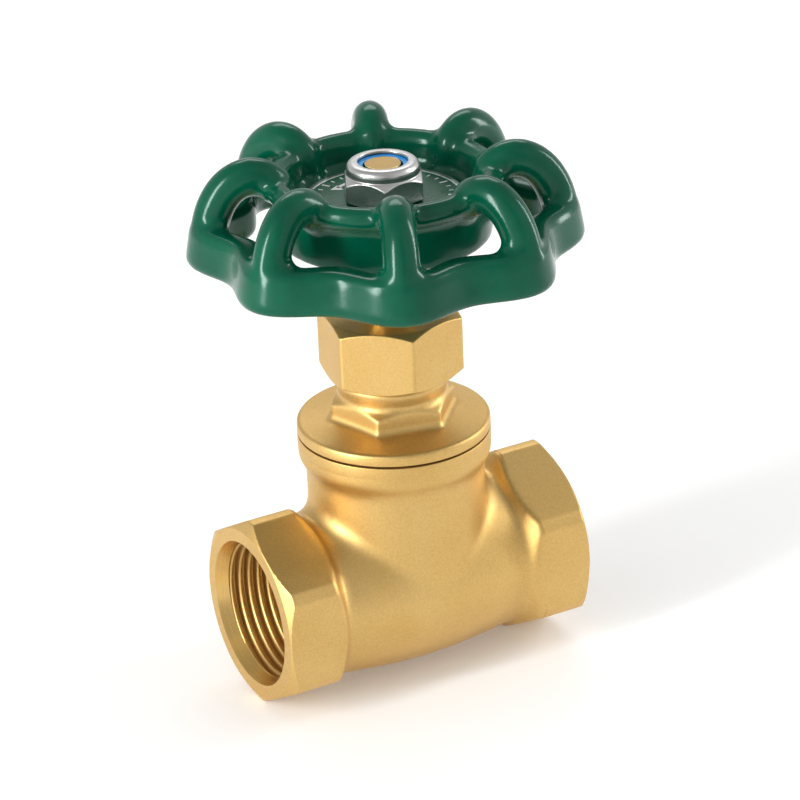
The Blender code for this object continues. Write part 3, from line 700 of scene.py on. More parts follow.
@dataclass(frozen=True)
class TurnedMetal:
    """Metal straight from a lathe: bright, with fine rings round its axis."""

    name: str
    light: Colour
    dark: Colour
    roughness: tuple[float, float]
    along_run: bool = False
    ring: float = 0.16 * MM
    ring_height: float = 0.004 * MM

    def material(self) -> bpy.types.Material:
        """Builds the finish.

        Returns:
            The material.
        """
        bench = Bench(self.name)
        split = bench.node("ShaderNodeSeparateXYZ")
        bench.link(bench.place, "Object", split, "Vector")
        axis = "X" if self.along_run else "Z"
        radial = [name for name in "XYZ" if name != axis]
        squares = []
        for name in radial:
            square = bench.node("ShaderNodeMath", operation="MULTIPLY")
            bench.link(split, name, square, 0)
            bench.link(split, name, square, 1)
            squares.append(square)
        total = bench.node("ShaderNodeMath", operation="ADD")
        bench.link(squares[0], 0, total, 0)
        bench.link(squares[1], 0, total, 1)
        radius = bench.node("ShaderNodeMath", operation="SQRT")
        bench.link(total, 0, radius, 0)
        ringed = bench.node("ShaderNodeCombineXYZ")
        bench.link(radius, 0, ringed, "X")
        bench.link(split, axis, ringed, "Y")
        marks = bench.node("ShaderNodeTexNoise")
        marks.inputs["Scale"].default_value = 1.0 / self.ring
        marks.inputs["Detail"].default_value = 1.0
        bench.link(ringed, "Vector", marks, "Vector")
        stain = bench.noise(5 * MM, 3.0)
        tint = bench.blend(bench.spread(stain, "Fac", 0.0, 1.0), "Result", self.light, self.dark)
        bench.link(tint, 2, bench.shader, "Base Color")
        rough = bench.spread(marks, "Fac", *self.roughness)
        bench.link(rough, "Result", bench.shader, "Roughness")
        rings = bench.relief(marks, "Fac", self.ring_height)
        bench.link(rings, "Normal", bench.shader, "Normal")
        bench.set(Metallic=1.0)
        return bench.material


@dataclass(frozen=True)
class DippedEnamel:
    """Thick gloss enamel over a casting: the casting's unevenness shows as long soft waves."""

    name: str
    light: Colour
    dark: Colour
    wave: float = 5.0 * MM
    wave_height: float = 0.05 * MM

    def material(self) -> bpy.types.Material:
        """Builds the finish.

        Returns:
            The material.
        """
        bench = Bench(self.name)
        depth = bench.noise(7 * MM, 3.0)
        tint = bench.blend(bench.spread(depth, "Fac", 0.0, 1.0), "Result", self.light, self.dark)
        bench.link(tint, 2, bench.shader, "Base Color")
        haze = bench.spread(bench.noise(1.5 * MM, 4.0), "Fac", 0.16, 0.26)
        bench.link(haze, "Result", bench.shader, "Roughness")
        waves = bench.relief(bench.noise(self.wave, 1.0), "Fac", self.wave_height)
        dust = bench.relief(bench.noise(0.5 * MM, 2.0), "Fac", self.wave_height / 40, waves)
        bench.link(dust, "Normal", bench.shader, "Normal")
        bench.link(waves, "Normal", bench.shader, "Coat Normal")
        bench.set(Coat_Weight=0.4, Coat_Roughness=0.17, IOR=1.45, Specular_IOR_Level=0.12,
                  Specular_Tint=(0.3, 1.0, 0.75, 1.0))
        return bench.material


@dataclass(frozen=True)
class Plain:
    """A plastic, rubber or fibre: one colour with faint mottling and a fine grain."""

    name: str
    light: Colour
    dark: Colour
    roughness: tuple[float, float]
    grain: float = 0.3 * MM
    grain_height: float = 0.008 * MM
    metallic: float = 0.0

    def material(self) -> bpy.types.Material:
        """Builds the finish.

        Returns:
            The material.
        """
        bench = Bench(self.name)
        mottle = bench.noise(2.5 * MM, 4.0)
        tint = bench.blend(bench.spread(mottle, "Fac", 0.0, 1.0), "Result", self.light, self.dark)
        bench.link(tint, 2, bench.shader, "Base Color")
        rough = bench.spread(mottle, "Fac", *self.roughness)
        bench.link(rough, "Result", bench.shader, "Roughness")
        grain = bench.relief(bench.noise(self.grain, 3.0), "Fac", self.grain_height)
        bench.link(grain, "Normal", bench.shader, "Normal")
        bench.set(Metallic=self.metallic)
        return bench.material


class Finishes:
    """Every finish on the valve, each made once."""

    def __init__(self) -> None:
        """Builds the materials."""
        brass, worn_brass = (0.66, 0.445, 0.168, 1.0), (0.62, 0.405, 0.138, 1.0)
        gold = (0.76, 0.48, 0.14, 1.0)
        self.blasted_brass = BlastedMetal("blasted_brass", brass, worn_brass,
                                          (0.43, 0.51)).material()
        self.faced_brass = TurnedMetal("faced_brass", gold, brass, (0.24, 0.34), along_run=True,
                                       ring_height=0.0015 * MM).material()
        self.polished_brass = TurnedMetal("polished_brass", gold, brass, (0.1, 0.22)).material()
        self.enamel = DippedEnamel("dipped_enamel", (0.0, 0.082, 0.042, 1.0),
                                   (0.0, 0.058, 0.03, 1.0)).material()
        self.steel = TurnedMetal("satin_steel", (0.62, 0.62, 0.61, 1.0), (0.54, 0.54, 0.53, 1.0),
                                 (0.27, 0.36), ring_height=0.0012 * MM).material()
        self.print_green = Plain("print_green", (0.0, 0.1, 0.045, 1.0), (0.0, 0.075, 0.034, 1.0),
                                 (0.25, 0.35)).material()
        self.print_white = Plain("print_white", (0.85, 0.87, 0.86, 1.0), (0.74, 0.77, 0.76, 1.0),
                                 (0.35, 0.45)).material()
        self.aluminium = TurnedMetal("bare_edge", (0.9, 0.91, 0.91, 1.0),
                                     (0.8, 0.81, 0.81, 1.0), (0.25, 0.38)).material()
        self.nylon = Plain("blue_nylon", (0.02, 0.34, 0.8, 1.0), (0.015, 0.28, 0.7, 1.0),
                           (0.3, 0.4)).material()
        self.packing = Plain("packing_fibre", (0.1, 0.1, 0.1, 1.0), (0.05, 0.05, 0.05, 1.0),
                             (0.6, 0.8)).material()
        self.rubber = Plain("gasket_rubber", (0.02, 0.02, 0.02, 1.0), (0.012, 0.012, 0.012, 1.0),
                            (0.5, 0.7)).material()


# --- pieces --------------------------------------------------------------------------------------
class Assembly:
    """A group of pieces that ride on one body of the frame."""

    body: str

    def settle(self, obj: bpy.types.Object, slot: str, nodes: Sequence[str] = (),
               materials: Sequence[bpy.types.Material] = ()) -> None:
        """Puts a finished piece on its body.

        Args:
            obj: the piece.
            slot: the record's material slot; not used.
            nodes: the frame's nodes that it stands for.
            materials: its finishes, if it has none yet.
        """
        for material in materials:
            obj.data.materials.append(material)
        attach(obj, self.body)
        if nodes:
            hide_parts(*nodes)
        LOG.info("%s: %d faces on %s", obj.name, len(obj.data.polygons), self.body)


def with_finish(obj: bpy.types.Object, material: bpy.types.Material) -> bpy.types.Object:
    """Gives a solid its only finish, before it is joined to others.

    Args:
        obj: the solid.
        material: the finish.

    Returns:
        The same solid.
    """
    obj.data.materials.clear()
    obj.data.materials.append(material)
    return obj


@dataclass
class ValveBody(Assembly):
    """The cast body: a barrel-shaped run, two threaded hexagonal sockets and a round neck."""

    run_radius: float = 15.9 * MM
    run_end_radius: float = 14.4 * MM
    socket_flats: float = 31.1 * MM
    socket_length: float = 12.2 * MM
    end_chamfer: float = 1.2 * MM
    chamfer_slope: float = 1.7
    mouth_radius: float = 13.05 * MM
    mouth_throat: float = 12.15 * MM
    mouth_depth: float = 2.2 * MM
    thread: Thread = Thread(core=12.0 * MM, crest=13.15 * MM, pitch=1.814 * MM)
    thread_depth: float = 13.2 * MM
    passage_radius: float = 11.2 * MM
    neck_radius: float = 15.6 * MM
    collar_height: float = 4.6 * MM
    collar_round: float = 0.9 * MM
    neck_bore: float = 13.0 * MM
    chamber_radius: float = 11.4 * MM
    partition: float = 2.4 * MM
    bridge_bottom: float = -1.6 * MM
    bridge_top: float = 2.4 * MM
    seat_level: float = 3.6 * MM
    seat_bore: float = 8.0 * MM
    seat_rim: float = 1.6 * MM
    shoulder_length: float = 3.0 * MM
    shoulder_fillet: float = 0.6 * MM
    fillet: float = 1.8 * MM
    grain: float = 0.48 * MM

    body = "valve_body"

    def __post_init__(self) -> None:
        """Reads the body's place from the frame."""
        low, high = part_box("body")
        self.end = high.x
        self.top = high.z
        self.collar_radius = high.y
        self.socket_corner = -low.z + 0.07 * MM

    def casting(self) -> bpy.types.Object:
        """The run and the neck, melted together as they come from the mould.

        Returns:
            The casting, still solid.
        """
        half = self.end - self.socket_length / 2
        barrel = half - self.socket_length / 2
        swell = self.run_radius - self.run_end_radius
        rows = 14
        run = [Corner(0.0, half), Corner(self.run_end_radius, half)]
        for i in range(rows + 1):
            across = 1.0 - 2.0 * i / rows
            run.append(Corner(self.run_end_radius + swell * math.cos(across * math.pi / 2),
                              across * barrel))
        run += [Corner(self.run_end_radius, -half), Corner(0.0, -half)]
        under = self.top - self.collar_height
        neck = [Corner(0.0, self.top), Corner(self.collar_radius, self.top, 0.3 * MM),
                Corner(self.collar_radius, under, self.collar_round),
                Corner(self.neck_radius, under - 0.5 * MM, 0.1 * MM),
                Corner(self.neck_radius, 0.0), Corner(0.0, 0.0)]
        tee = melted("tee", Form.turned(run).along(Side.OUTLET).joined([Form.turned(neck)]),
                     self.grain, self.fillet, 2)
        whole = Form.taken(tee).joined([self.socket(side) for side in Side])
        return melted("valve_casting", whole, self.grain, self.shoulder_fillet, 3)

    def collar_lip(self) -> bpy.types.Object:
        """The collar's machined upper edge, sharper than the casting round it.

        Returns:
            The edge, to be joined to the casting.
        """
        return Form.turned([
            Corner(0.0, self.top), Corner(self.collar_radius, self.top, 0.12 * MM),
            Corner(self.collar_radius, self.top - 2.5 * MM, 1.0 * MM),
            Corner(self.collar_radius - 2.0 * MM, self.top - 3.5 * MM),
            Corner(0.0, self.top - 3.5 * MM)]).piece("collar_lip")

    def socket(self, side: Side) -> Form:
        """One socket's outside: a hexagon turned down at its corners, end and shoulder.

        Args:
            side: which end of the run.

        Returns:
            The closed solid.
        """
        inner = self.end - self.socket_length
        shoulder = self.socket_corner - self.run_end_radius
        corners = [Corner(0.0, self.end),
                   Corner(self.socket_corner - self.chamfer_slope * self.end_chamfer, self.end,
                          0.2 * MM),
                   Corner(self.socket_corner, self.end - self.end_chamfer, 0.5 * MM),
                   Corner(self.socket_corner, inner + 0.8 * shoulder, 0.8 * MM),
                   Corner(self.run_end_radius - PLAY, inner), Corner(0.0, inner)]
        hexagon = Prism(6, self.socket_flats, 0.0, inner, self.end, edge_round=0.5 * MM)
        form = Form.turned(corners, 2 * FINE_STEPS, spacing=0.35 * MM).faceted(hexagon)
        return form.along(side)

    def crisp_socket(self, side: Side) -> bpy.types.Object:
        """The part of a socket that is machined after casting, clear of its shoulder.

        Args:
            side: which end of the run.

        Returns:
            The part, to be joined to the casting.
        """
        inner = self.end - self.socket_length + self.shoulder_length
        form = self.socket(side)
        form.clip((side.value * inner, 0.0, 0.0), (-side.value, 0.0, 0.0))
        return form.sealed().piece("crisp_socket")

    def bore(self, side: Side) -> list[bpy.types.Object]:
        """One socket's threaded hole and its countersunk mouth.

        Args:
            side: which end of the run.

        Returns:
            The cutting solids.
        """
        deep = self.end - self.thread_depth
        throat = self.end - self.mouth_depth
        slope = (self.mouth_radius - self.mouth_throat) / self.mouth_depth
        rod = Form.threaded(self.thread, deep, throat)
        mouth = [Corner(0.0, self.end + MM),
                 Corner(self.mouth_radius + slope * MM, self.end + MM),
                 Corner(self.mouth_throat, throat, 0.2 * MM),
                 Corner(self.thread.core, throat - 0.25 * MM),
                 Corner(0.0, throat - 0.25 * MM)]
        relief = [Corner(0.0, deep + 0.6 * MM), Corner(self.thread.crest, deep + 0.6 * MM),
                  Corner(self.thread.crest, deep - 1.4 * MM, 0.3 * MM),
                  Corner(0.0, deep - 1.4 * MM)]
        return [part.along(side).piece("bore")
                for part in (rod, Form.turned(mouth), Form.turned(relief))]

    def passage(self, start: float, end: float, floor: float | None = None,
                ceiling: float | None = None) -> bpy.types.Object:
        """A length of the round flow passage.

        Args:
            start: where along the run it begins.
            end: where it ends.
            floor: a level that it doesn't go below.
            ceiling: a level that it doesn't go above.

        Returns:
            The cutting solid.
        """
        radius = self.passage_radius
        form = Form.turned([Corner(0.0, end), Corner(radius, end), Corner(radius, start),
                            Corner(0.0, start)], SMALL_STEPS).along(Side.OUTLET)
        if floor is not None:
            form.clip((0.0, 0.0, floor), (0.0, 0.0, -1.0))
        if ceiling is not None:
            form.clip((0.0, 0.0, ceiling), (0.0, 0.0, 1.0))
        return form.sealed().piece("passage")

    def chamber(self) -> bpy.types.Object:
        """The hollow above the bridge, with the raised seat left in its floor.

        Returns:
            The cutting solid.
        """
        spigot_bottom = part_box("bonnet")[0].z
        gasket_low, gasket_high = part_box("bonnet_gasket")
        rim = self.seat_bore + self.seat_rim
        return Form.turned([
            Corner(0.0, self.top + MM), Corner(gasket_high.x + PLAY, self.top + MM),
            Corner(gasket_high.x + PLAY, gasket_low.z - PLAY),
            Corner(self.neck_bore, gasket_low.z - PLAY),
            Corner(self.neck_bore, spigot_bottom - PLAY),
            Corner(self.chamber_radius, spigot_bottom - 2.0 * MM),
            Corner(self.chamber_radius, self.bridge_top, 0.6 * MM),
            Corner(rim, self.bridge_top), Corner(rim, self.seat_level, 0.2 * MM),
            Corner(0.0, self.seat_level)], SMALL_STEPS).piece("chamber")

    def build(self, finishes: Finishes) -> None:
        """Makes the body and dresses it: blasted outside, bright where it is machined.

        Args:
            finishes: the valve's finishes.
        """
        body = with_finish(self.casting(), finishes.blasted_brass)
        for side in Side:
            act(body, Cut.JOIN, with_finish(self.crisp_socket(side), finishes.blasted_brass))
        act(body, Cut.JOIN, with_finish(self.collar_lip(), finishes.blasted_brass))
        deep = self.end - self.thread_depth
        inlet_wall = -(self.chamber_radius + self.partition)
        lower_end = self.chamber_radius - self.partition / 2
        outlet_wall = lower_end + self.partition
        rough = [self.chamber(),
                 self.passage(-deep - MM, inlet_wall),
                 self.passage(inlet_wall - MM, lower_end, ceiling=self.bridge_bottom),
                 self.passage(outlet_wall, deep + MM),
                 self.passage(self.chamber_radius / 2, outlet_wall + MM,
                              floor=self.seat_level + PLAY),
                 Form.turned([Corner(0.0, self.seat_level + MM),
                              Corner(self.seat_bore, self.seat_level + MM),
                              Corner(self.seat_bore, self.bridge_bottom - MM),
                              Corner(0.0, self.bridge_bottom - MM)], SMALL_STEPS).piece("seat")]
        act(body, Cut.REMOVE, *(with_finish(tool, finishes.blasted_brass) for tool in rough))
        for side in Side:
            bored = (with_finish(tool, finishes.faced_brass) for tool in self.bore(side))
            act(body, Cut.REMOVE, *bored)
        self.settle(shaded(body), "brass_blasted", ["body"])


@dataclass
class Bonnet(Assembly):
    """The screwed bonnet: flange, soft-edged spanner hexagon, turned neck and stuffing box."""

    flange_thickness: float = 2.0 * MM
    flange_rise: float = 0.9 * MM
    flange_round: float = 0.55 * MM
    flats: float = 19.5 * MM
    hexagon_height: float = 4.0 * MM
    hexagon_chamfer: float = 1.3 * MM
    hexagon_turn: float = math.radians(-12.5)
    neck_radius: float = 9.3 * MM
    neck_flare: float = 0.65 * MM
    spigot_radius: float = 12.7 * MM
    box_radius: float = 7.0 * MM
    box_wall: float = 2.0 * MM
    thread_bore: float = 6.1 * MM
    back_seat: float = 40.0 * MM
    fillet: float = 0.7 * MM
    grain: float = 0.25 * MM

    body = "valve_body"

    def __post_init__(self) -> None:
        """Reads the bonnet's place from the frame."""
        low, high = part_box("bonnet")
        self.bottom, self.top, self.radius = low.z, high.z, high.x
        self.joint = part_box("body")[1].z + 0.4 * MM
        self.nut_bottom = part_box("packing_nut")[0].z
        self.box_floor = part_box("packing_support_washer")[0].z - PLAY
        self.stem_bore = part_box("gland_follower")[1].x

    def build(self, finishes: Finishes) -> None:
        """Makes the bonnet.

        Args:
            finishes: the valve's finishes.
        """
        flange_top = self.joint + self.flange_thickness
        hexagon_bottom = flange_top + self.flange_rise
        corner = self.flats / math.sqrt(3)
        flange = Form.turned([
            Corner(0.0, hexagon_bottom), Corner(corner, hexagon_bottom),
            Corner(self.radius - 1.2 * MM, flange_top + 0.12 * MM),
            Corner(self.radius, flange_top, self.flange_round),
            Corner(self.radius, self.joint + 0.3 * MM), Corner(0.0, self.joint + 0.3 * MM)])
        hexagon_top = hexagon_bottom + self.hexagon_height
        turned_down = Form.turned([
            Corner(0.0, hexagon_top), Corner(self.neck_radius, hexagon_top),
            Corner(corner, hexagon_top - self.hexagon_chamfer), Corner(corner, flange_top - MM),
            Corner(0.0, flange_top - MM)], 2 * FINE_STEPS, spacing=0.25 * MM)
        hexagon = turned_down.faceted(Prism(6, self.flats, self.hexagon_turn, flange_top - MM,
                                            hexagon_top, edge_round=0.25 * MM))
        neck = Form.turned([
            Corner(0.0, self.nut_bottom - PLAY),
            Corner(self.neck_radius + self.neck_flare, self.nut_bottom - PLAY, 0.3 * MM),
            Corner(self.neck_radius + self.neck_flare, self.nut_bottom - 4 * PLAY, 0.6 * MM),
            Corner(self.neck_radius, hexagon_top, 0.6 * MM),
            Corner(self.neck_radius, flange_top), Corner(0.0, flange_top)])
        bonnet = melted("bonnet_casting", flange.joined([hexagon, neck]), self.grain,
                        self.fillet, 3)
        with_finish(bonnet, finishes.blasted_brass)
        hidden = Form.turned([
            Corner(0.0, self.top), Corner(self.box_radius + self.box_wall, self.top, 0.3 * MM),
            Corner(self.box_radius + self.box_wall, self.joint + 0.5 * MM),
            Corner(self.spigot_radius, self.joint + 0.5 * MM),
            Corner(self.spigot_radius, self.bottom, 0.5 * MM), Corner(0.0, self.bottom)])
        act(bonnet, Cut.JOIN, with_finish(hidden.piece("spigot"), finishes.faced_brass))
        rim = Form.turned([
            Corner(0.0, flange_top - 0.7 * MM),
            Corner(self.radius - 0.3 * MM, flange_top - 0.7 * MM),
            Corner(self.radius, flange_top - 0.9 * MM, 0.2 * MM),
            Corner(self.radius, self.joint, 0.1 * MM), Corner(0.0, self.joint)])
        act(bonnet, Cut.JOIN, with_finish(rim.piece("flange_rim"), finishes.blasted_brass))
        bore = Form.turned([
            Corner(0.0, self.top + MM), Corner(self.box_radius, self.top + MM),
            Corner(self.box_radius, self.box_floor), Corner(self.stem_bore, self.box_floor),
            Corner(self.stem_bore, self.back_seat),
            Corner(self.thread_bore, self.back_seat - self.thread_bore + self.stem_bore),
            Corner(self.thread_bore, self.bottom - MM), Corner(0.0, self.bottom - MM)])
        act(bonnet, Cut.REMOVE, with_finish(bore.piece("bore"), finishes.faced_brass))
        self.settle(shaded(bonnet), "brass_blasted", ["bonnet"])


@dataclass
class PackingNut(Assembly):
    """The hexagon nut that squeezes the packing, chamfered at both ends, with a dished mouth."""

    flats: float = 22.2 * MM
    turn: float = math.radians(19.4)
    chamfer: float = 1.0 * MM
    roof: float = 1.9 * MM
    dish: float = 0.9 * MM
    box_radius: float = 9.3 * MM
    mouth: float = 5.5 * MM
    chamfer_slope: float = 1.9
    edge: float = 0.45 * MM

    body = "valve_body"

    def __post_init__(self) -> None:
        """Reads the nut's place from the frame."""
        low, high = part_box("packing_nut")
        self.bottom, self.top = low.z, high.z

    def build(self, finishes: Finishes) -> None:
        """Makes the nut as one turned shell drawn in onto its flats.

        Args:
            finishes: the valve's finishes.
        """
        outside = self.flats / math.sqrt(3) + 0.05 * MM
        turned_to = self.flats / math.sqrt(3) - self.chamfer_slope * self.chamfer
        corners = [
            Corner(self.mouth + self.dish, self.top, 0.15 * MM),
            Corner(turned_to, self.top, 0.25 * MM),
            Corner(outside, self.top - self.chamfer * 1.05),
            Corner(outside, self.bottom + self.chamfer * 1.05),
            Corner(turned_to, self.bottom, 0.2 * MM),
            Corner(self.box_radius, self.bottom, 0.2 * MM),
            Corner(self.box_radius, self.top - self.roof),
            Corner(self.mouth - self.edge, self.top - self.roof),
            Corner(self.mouth - self.edge, self.top - self.dish, 0.1 * MM)]
        form = Form.turned(corners, 2 * FINE_STEPS, spacing=0.24 * MM)
        form.faceted(Prism(6, self.flats, self.turn, self.bottom, self.top))
        self.settle(shaded(form.piece("gland_nut"), math.radians(50)), "brass_blasted",
                    ["packing_nut"], [finishes.blasted_brass])


@dataclass
class Spindle(Assembly):
    """The stem, bright where it slides in the packing, with its thread, square and head."""

    radius: float = 4.6 * MM
    square: float = 7.7 * MM
    tip_radius: float = 3.85 * MM
    tip_chamfer: float = 0.75 * MM
    tip_stand: float = 0.55 * MM
    thread: Thread = Thread(core=4.6 * MM, crest=5.8 * MM, pitch=2.5 * MM)
    thread_bottom: float = 14.9 * MM
    thread_top: float = 30.9 * MM
    head_radius: float = 4.4 * MM
    head_height: float = 2.0 * MM
    neck_radius: float = 2.8 * MM

    body = "stem_assembly"

    def __post_init__(self) -> None:
        """Reads the stem's place from the frame."""
        low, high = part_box("stem")
        self.bottom, self.top = low.z, high.z
        self.hub_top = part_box("nameplate")[0].z - PLAY
        self.hub_bottom = self.hub_top - HUB_HEIGHT

    def build(self, finishes: Finishes) -> None:
        """Makes the stem.

        Args:
            finishes: the valve's finishes.
        """
        square_top = self.hub_top - PLAY
        form = Form.turned([
            Corner(0.0, self.top + self.tip_stand),
            Corner(self.tip_radius - self.tip_chamfer, self.top + self.tip_stand, 0.15 * MM),
            Corner(self.tip_radius - self.tip_chamfer, self.top),
            Corner(self.tip_radius, self.top - self.tip_chamfer, 0.2 * MM),
            Corner(self.tip_radius, square_top),
            Corner(self.radius, square_top, 0.2 * MM),
            Corner(self.radius, self.thread_top + 1.3 * MM, 0.3 * MM),
            Corner(self.thread.crest, self.thread_top - 0.1 * MM),
            Corner(self.thread.core - 0.1 * MM, self.thread_top - 1.2 * MM),
            Corner(self.thread.core - 0.1 * MM, self.thread_bottom),
            Corner(self.neck_radius, self.thread_bottom - 0.01 * MM, 0.2 * MM),
            Corner(self.neck_radius, self.bottom + self.head_height, 0.2 * MM),
            Corner(self.head_radius, self.bottom + self.head_height, 0.2 * MM),
            Corner(self.head_radius, self.bottom, 0.3 * MM), Corner(0.0, self.bottom)],
            FINE_STEPS, spacing=0.4 * MM)
        form.faceted(Prism(4, self.square, LOBE_TURN + math.pi / 4,
                           self.hub_bottom - PLAY, square_top, edge_round=0.3 * MM))
        stem = with_finish(form.piece("spindle"), finishes.polished_brass)
        screw = Form.threaded(self.thread, self.thread_bottom, self.thread_top - 1.0 * MM,
                              SMALL_STEPS)
        act(stem, Cut.JOIN, with_finish(screw.piece("screw"), finishes.polished_brass))
        self.settle(shaded(stem), "brass_turned", ["stem"])


@dataclass
class Handwheel(Assembly):
    """The dipped wheel: eight arches from a lobed rim over to the ring of a dished centre."""

    rim_radius: float = 30.1 * MM
    lobe_depth: float = 4.0 * MM
    lobes: int = 8
    arch_width: float = 3.3 * MM
    arch_thickness: float = 3.1 * MM
    crown_rise: float = 9.3 * MM
    ring_tube: float = 2.05 * MM
    cup_radius: float = 16.2 * MM
    cup_wall: float = 2.1 * MM
    hub_radius: float = 7.5 * MM
    floor: float = 2.2 * MM
    square: float = 8.3 * MM
    fillet: float = 1.25 * MM
    grain: float = 0.42 * MM

    body = "stem_assembly"

    def __post_init__(self) -> None:
        """Reads the wheel's levels from the frame."""
        self.hub_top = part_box("nameplate")[0].z - PLAY
        self.hub_bottom = self.hub_top - HUB_HEIGHT
        self.rim_level = self.hub_bottom - 1.2 * MM
        self.ring_level = self.hub_top + 4.0 * MM
        self.ring_radius = self.cup_radius + self.cup_wall

    def arch(self, turn: float) -> Form:
        """One arch, from a lobe of the rim up, over and down into the ring.

        Args:
            turn: its direction round the stem.

        Returns:
            The bar.
        """
        foot = Vector((self.rim_radius, self.rim_level))
        head = Vector((self.ring_radius, self.ring_level))
        crown = self.hub_bottom + self.crown_rise
        rise = (8 * crown - foot.y - head.y) / 6
        pulls = (Vector((foot.x - 0.5 * MM, rise - 2 * MM)),
                 Vector((head.x + 4.0 * MM, rise + 2 * MM)))
        stations = []
        steps = 16
        for i in range(steps + 1):
            t = i / steps
            spot = ((1 - t) ** 3 * foot + 3 * t * (1 - t) ** 2 * pulls[0]
                    + 3 * t * t * (1 - t) * pulls[1] + t ** 3 * head)
            stations.append(Station(Vector((spot.x, 0.0, spot.y)), self.arch_width,
                                    self.arch_thickness))
        for inward, down, size in ((1.1, 1.5, 2.5), (1.7, 2.9, 1.9), (1.9, 4.2, 1.2)):
            stations.append(Station(Vector((head.x - inward * MM, 0.0, head.y - down * MM)),
                                    size * MM, size * MM))
        return Form.bar(stations).placed(Matrix.Rotation(turn, 4, "Z"))

    def rim(self) -> Form:
        """The lobed rim: a flat-faced band with a rounded foot.

        Returns:
            The closed solid.
        """
        mean = self.rim_radius - self.lobe_depth / 2
        corners = [Corner(mean + 3.0 * MM, self.rim_level + 4.2 * MM, 1.8 * MM),
                   Corner(mean + 4.4 * MM, self.rim_level - 3.8 * MM, 1.4 * MM),
                   Corner(mean - 2.5 * MM, self.rim_level - 3.2 * MM, 1.6 * MM),
                   Corner(mean - 2.6 * MM, self.rim_level + 3.7 * MM, 1.8 * MM)]
        return Form.turned(corners).lobed(self.lobes, self.lobe_depth / 2, LOBE_TURN)

    def cup(self) -> Form:
        """The dished centre: its wall, its floor and the hub.

        Returns:
            The closed solid.
        """
        outside = self.cup_radius + self.cup_wall
        foot = self.hub_bottom - 1.9 * MM
        return Form.turned([
            Corner(0.0, self.hub_top), Corner(self.cup_radius, self.hub_top, 0.8 * MM),
            Corner(self.cup_radius, self.ring_level), Corner(outside, self.ring_level),
            Corner(outside, foot, 0.9 * MM), Corner(self.cup_radius, foot, 0.8 * MM),
            Corner(self.cup_radius - 0.4 * MM, self.hub_top - self.floor, 1.0 * MM),
            Corner(self.hub_radius, self.hub_top - self.floor),
            Corner(self.hub_radius, self.hub_bottom, 0.6 * MM),
            Corner(0.0, self.hub_bottom)])

    def ring(self) -> Form:
        """The round bar on top of the cup's wall.

        Returns:
            The closed solid.
        """
        centre, tube = self.ring_radius, self.ring_tube
        reach = 0.999 * tube
        return Form.turned([
            Corner(centre + tube, self.ring_level + tube, reach),
            Corner(centre + tube, self.ring_level - tube, reach),
            Corner(centre - tube, self.ring_level - tube, reach),
            Corner(centre - tube, self.ring_level + tube, reach)])

    def build(self, finishes: Finishes) -> None:
        """Makes the wheel.

        Args:
            finishes: the valve's finishes.
        """
        arches = [self.arch(LOBE_TURN + FULL_TURN * i / self.lobes)
                  for i in range(self.lobes)]
        form = self.rim().joined([self.cup(), self.ring(), *arches])
        wheel = melted("dipped_wheel", form, self.grain, self.fillet, 5)
        half = self.square / 2
        hole = Form.block((-half, -half, self.hub_bottom - MM), (half, half, self.hub_top + MM))
        hole.placed(Matrix.Rotation(LOBE_TURN, 4, "Z"))
        act(wheel, Cut.REMOVE, hole.piece("square_hole"))
        with_finish(wheel, finishes.enamel)
        self.settle(shaded(wheel, math.radians(60)), "green_enamel", ["handwheel"])


